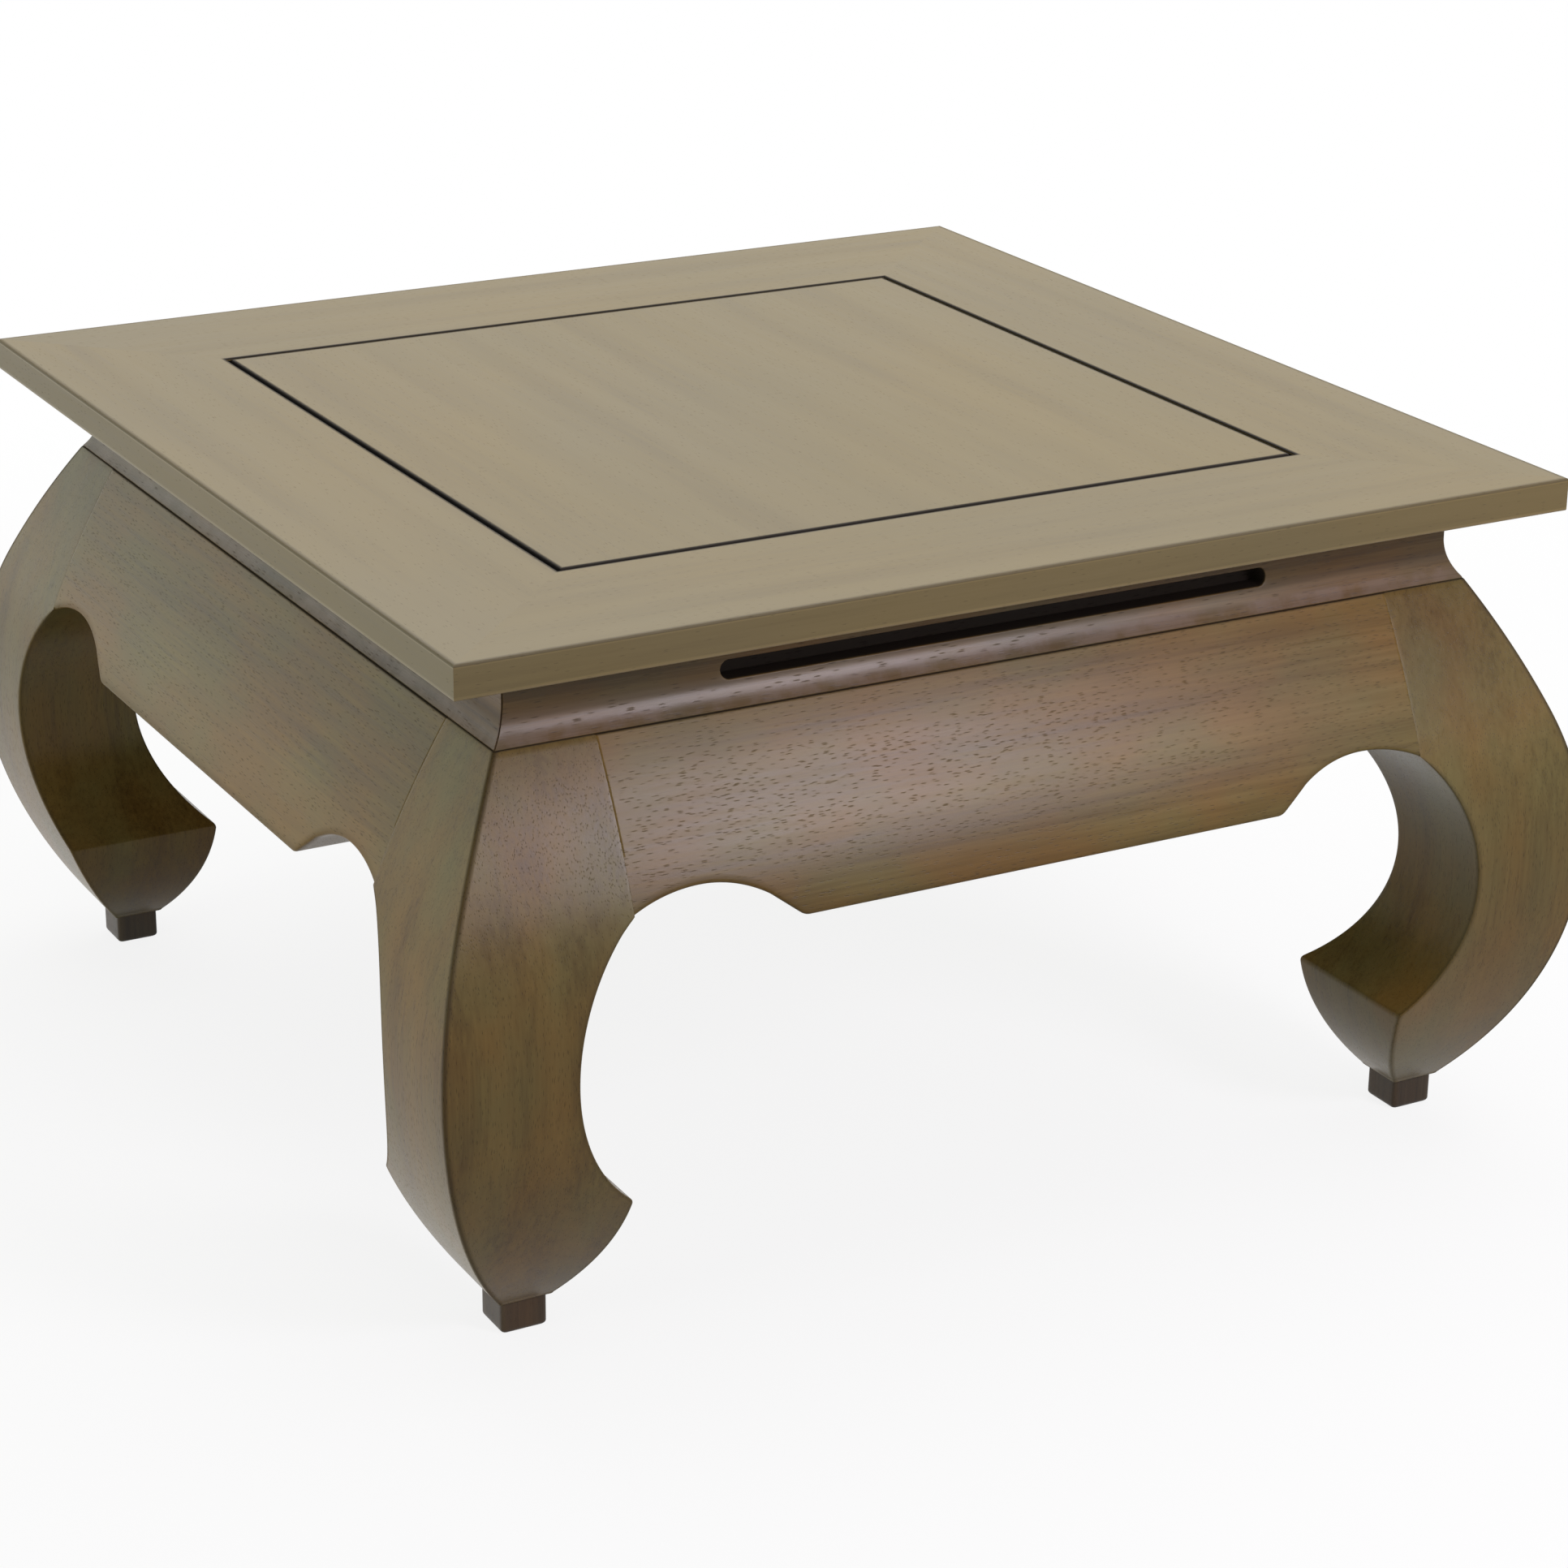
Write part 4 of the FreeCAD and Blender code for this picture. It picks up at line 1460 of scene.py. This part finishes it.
        # Painted shade along the joint with the waist, fading just below it.
        fade = (self.seam_shade_fade, *[self.seam_shade] * 3)
        section += [(*point, mark) for point, mark in zip(bend, fade)]
        section += [(edge - 3 * seam, top, 0.0), (inner, top, 0.0)]
        section += [(inner, height, 0.0) for height in np.linspace(top, under + self.apron_ease, 6)[1:]]
        return section

    def apron(self) -> bpy.types.Mesh:
        """Builds the back apron: its bulging section at every place, cut off by its lower edge.

        Returns:
            Its mesh.
        """
        reach, foot, head = self.levels.leg_inner, self.ramp_foot[0], self.ramp_head[0]
        # The sections stand closer together along the ramp and the scallop
        spans = (
            (0.0, foot - 8 * MM, 22),
            (foot - 6 * MM, head + 2 * MM, 20),
            (head + 4 * MM, reach - 3 * MM, 40),
        )
        ends = [reach - 1.5 * MM, reach - self.butt, reach]
        half = np.concatenate([*[np.linspace(*span) for span in spans], ends])
        columns = np.concatenate([-half[:0:-1], half])
        rings = []
        for place, under in zip(columns, self.apron_under(np.abs(columns))):
            section = self.apron_section(under, self.butt if abs(place) == reach else 0.0)
            rings.append([(place, *point) for point in section])
        return closed_mesh("apron", rings)

    def pad(self) -> bpy.types.Mesh:
        """Builds the pad under the leg of the back right corner.

        Returns:
            Its mesh.
        """
        ease = self.pad_round
        near, far = self.pad_middle - self.pad_width / 2, self.pad_middle + self.pad_width / 2
        turns = np.linspace(0.0, QUARTER, 6)
        levels = [(ease * (1 - math.sin(turn)), ease * (1 - math.cos(turn))) for turn in turns]
        levels += [(0.0, level) for level in np.linspace(2 * ease, self.levels.ankle, 8)]
        rings = [Ring(near + inset, far - inset, level, (ease,) * 3) for inset, level in levels]
        return post("foot_pad", rings)

    def build(self, woods: Woods, turner: QuarterTurn) -> None:
        """Builds and dresses the base.

        Args:
            woods: the table's woods by name.
            turner: carries pieces round the table.
        """
        apron = Repeat(self.apron(), "apron", "board", "apron_wood", "apron")
        leg = Repeat(self.leg(), "leg", "hoofed", "leg_wood", "leg")
        pad = Repeat(self.pad(), "foot_pad", "block", "foot_pad_wood", "foot_pad")
        for side in Side:
            apron.at(side, woods, turner)
        for corner in Corner:
            leg.at(corner, woods, turner)
            pad.at(corner, woods, turner)


TOP = dict(
    deep=(125, 111, 68),
    body=(138, 124, 79),
    pale=(143, 130, 86),
    warm=(255, 242, 220),
    cool=(246, 240, 246),
    patches=5.0,
    pore_share=0.35,
    roughness=0.3,
    sheen=0.42,
)
WAIST = dict(
    deep=(86, 68, 46),
    body=(115, 95, 64),
    pale=(134, 113, 82),
    # The waist's pinkish rubbed colour also paints the sheen on the cove's pale lip.
    rubbed=(154, 136, 126),
    wear=0.65,
    pore_share=1.4,
    pore_fineness=0.9,
    pore_dark=0.5,
    roughness=0.27,
)
SPECKLED = dict(pore_share=1.6, pore_fineness=1.25, pore_dark=0.5)
APRON = dict(deep=(106, 83, 42), body=(133, 109, 60), pale=(148, 124, 75), **SPECKLED)
LEG = dict(
    deep=(99, 79, 43),
    body=(126, 106, 62),
    pale=(139, 119, 74),
    stave_width=0.079,
    stave_contrast=0.1,
    glue=0.1,
    **SPECKLED,
)
PAD = dict(deep=(58, 46, 37), body=(88, 73, 59), pale=(108, 92, 76), rubbed=(110, 96, 82))
RAW = dict(deep=(150, 122, 88), body=(184, 154, 116), pale=(204, 178, 140), roughness=0.68, wear=0.1)

FINISHES = (
    WoodFinish("top_frame_long", Grain.ALONG_X, **TOP, stave_contrast=0.04),
    WoodFinish("top_frame_short", Grain.ALONG_Y, **TOP, stave_contrast=0.04),
    WoodFinish("top_panel", Grain.ALONG_Y, **TOP, stave_contrast=0.10),
    WoodFinish("waist_long", Grain.ALONG_X, **WAIST),
    WoodFinish("waist_short", Grain.ALONG_Y, **WAIST),
    WoodFinish("apron_long", Grain.ALONG_X, **APRON),
    WoodFinish("apron_short", Grain.ALONG_Y, **APRON),
    WoodFinish("leg", Grain.ALONG_Z, **LEG),
    WoodFinish("foot_pad", Grain.ALONG_Z, **PAD),
    WoodFinish("plain_batten", Grain.ALONG_X, **RAW),
    WoodFinish("plain_block", Grain.ALONG_Z, **RAW),
    WoodFinish("plain_spline", Grain.ALONG_X, **RAW),
)


# Studio


@dataclass(frozen=True)
class Lamp:
    """A soft square lamp.

    Attributes:
        name: its name.
        place: where it hangs.
        aim: the point that it faces.
        width: its width.
        power: its power in watts.
        colour: the tint of its light.
    """

    name: str
    place: Place
    aim: Place
    width: float
    power: float
    colour: Place = (1.0, 1.0, 1.0)

    def hang(self) -> None:
        """Puts the lamp in the scene."""
        light = bpy.data.lights.new(self.name, "AREA")
        light.size = self.width
        light.energy = self.power
        light.color = self.colour
        lamp = bpy.data.objects.new(self.name, light)
        lamp.location = self.place
        away = lamp.location - type(lamp.location)(self.aim)
        lamp.rotation_mode = "QUATERNION"
        lamp.rotation_quaternion = away.to_track_quat("Z", "Y")
        bpy.context.scene.collection.objects.link(lamp)


@dataclass(frozen=True)
class Studio:
    """The white room round the table: floor, soft lamps, and the camera at the photograph's place.

    Attributes:
        floor_reach: how far the floor goes in each direction.
        sky_strength: strength of the light from all round.
        ceiling: how bright the ceiling looks in the lacquer, beside the white walls.
        ceiling_rise: steepness at which the walls start to darken upwards, and at which the ceiling begins.
        floor_grey: how much light the floor throws back at the table.
        floor_white: how much of a lamp's light it shows to the camera.
        floor_glow: share of the floor's white that no shadow takes away, close to the table.
        shadow_reach: distance at which the floor starts to turn plain white, and at which it is.
        eye: place of the camera.
        turn: the camera's turn about each axis, in degrees.
        lens: focal length in millimetres.
        sensor: width of the sensor in millimetres.
        lamps: the lamps.
    """

    floor_reach: float = 40.0
    sky_strength: float = 0.22
    ceiling: float = 0.3
    ceiling_rise: Point = (0.24, 0.4)
    floor_grey: float = 0.18
    floor_white: float = 0.95
    floor_glow: float = 0.86
    shadow_reach: Point = (0.75, 1.9)
    eye: Place = (-1.26035, -2.33053, 1.20893)
    turn: Place = (68.7586, -0.5727, -28.8776)
    lens: float = 91.029
    sensor: float = 36.0
    lamps: tuple[Lamp, ...] = (
        Lamp("overhead_lamp", (0.7, 1.0, 2.9), (0.0, 0.2, 0.4), 4.0, 88.0),
        Lamp("front_lamp", (1.03, -2.38, 1.48), (0.0, -0.3, 0.35), 0.7, 31.5, (1.0, 0.93, 1.04)),
        Lamp("left_lamp", (-2.7, -0.35, 0.18), (0.0, -0.1, 0.15), 0.9, 27.0, (0.94, 1.0, 0.84)),
        Lamp("back_left_lamp", (-1.5, 2.7, 0.6), (-0.4, 0.0, 0.3), 1.4, 4.0, (0.85, 1.0, 0.92)),
    )

    @staticmethod
    def seen(desk: Desk) -> Socket:
        """Tells whether a ray comes from the camera, straight, mirrored or through glass.

        Args:
            desk: the desk of the tree that asks.

        Returns:
            A value of 0 or 1.
        """
        path = desk.put("ShaderNodeLightPath").outputs
        either = desk.math("MAXIMUM", path["Is Camera Ray"], path["Is Glossy Ray"])
        return desk.math("MAXIMUM", either, path["Is Transmission Ray"])

    def floor_paint(self) -> bpy.types.Material:
        """Builds the floor's finish: white to the eye, with the table's shadow, and grey to the light.

        Returns:
            The material.
        """
        material = bpy.data.materials.new("studio_white")
        material.use_nodes = True
        material.node_tree.nodes.clear()
        desk = Desk(material.node_tree)
        grey, white = (
            desk.put("ShaderNodeBsdfDiffuse", {"Color": (tone, tone, tone, 1.0)}).outputs[0]
            for tone in (self.floor_grey, self.floor_white)
        )
        glow = desk.put("ShaderNodeEmission", {"Color": WHITE, "Strength": 1.0}).outputs[0]
        place = desk.put("ShaderNodeTexCoord").outputs["Object"]
        away = desk.put("ShaderNodeVectorMath", {0: place}, operation="LENGTH").outputs["Value"]
        share = desk.between(away, *self.shadow_reach, self.floor_glow, 1.0)
        pale = desk.put("ShaderNodeMixShader", {0: share, 1: white, 2: glow}).outputs[0]
        mixed = desk.put("ShaderNodeMixShader", {0: self.seen(desk), 1: grey, 2: pale})
        desk.put("ShaderNodeOutputMaterial", {"Surface": mixed.outputs[0]})
        return material

    def floor(self) -> None:
        """Lays the floor."""
        mesh = bpy.data.meshes.new("studio_floor")
        reach = self.floor_reach
        corners = [(-reach, -reach, 0.0), (reach, -reach, 0.0), (reach, reach, 0.0), (-reach, reach, 0.0)]
        mesh.from_pydata(corners, [], [(0, 1, 2, 3)])
        mesh.materials.append(self.floor_paint())
        floor = bpy.data.objects.new("studio_floor", mesh)
        bpy.context.scene.collection.objects.link(floor)

    def sky(self) -> None:
        """Lights the room softly from all round, and shows it white."""
        world = bpy.data.worlds.new("studio_sky")
        world.use_nodes = True
        world.node_tree.nodes.clear()
        desk = Desk(world.node_tree)
        direction = desk.put("ShaderNodeTexCoord").outputs["Generated"]
        steep = desk.put("ShaderNodeSeparateXYZ", {0: direction}).outputs["Z"]
        mirrored = desk.put("ShaderNodeLightPath").outputs["Is Glossy Ray"]
        darker = desk.between(steep, *self.ceiling_rise, 0.0, 1.0 - self.ceiling)
        lost = desk.math("MULTIPLY", mirrored, darker)
        shown = desk.math("SUBTRACT", 1.0 - self.sky_strength, lost)
        strength = desk.math("ADD", desk.math("MULTIPLY", self.seen(desk), shown), self.sky_strength)
        back = desk.put("ShaderNodeBackground", {"Color": WHITE, "Strength": strength})
        desk.put("ShaderNodeOutputWorld", {"Surface": back.outputs[0]})
        bpy.context.scene.world = world

    def camera(self) -> None:
        """Sets the camera."""
        data = bpy.data.cameras.new("photo_camera")
        data.lens = self.lens
        data.sensor_width = self.sensor
        camera = bpy.data.objects.new("photo_camera", data)
        camera.location = self.eye
        camera.rotation_euler = [math.radians(angle) for angle in self.turn]
        bpy.context.scene.collection.objects.link(camera)
        bpy.context.scene.camera = camera

    def build(self) -> None:
        """Builds the studio."""
        self.floor()
        self.sky()
        for lamp in self.lamps:
            lamp.hang()
        self.camera()
        bpy.context.scene.view_settings.view_transform = "Standard"


def main() -> None:
    """Builds the table's assemblies in order, then the studio."""
    logging.basicConfig(level=logging.INFO, format="%(message)s")
    effects = WoodEffects()
    woods = {finish.name: finish.material(effects) for finish in FINISHES}
    levels = Levels()
    turner = QuarterTurn()
    Base(levels).build(woods, turner)
    Waist(levels).build(woods, turner)
    TableTop(levels).build(woods, turner, SplineSet())
    Studio().build()


if __name__ == "__main__":
    main()
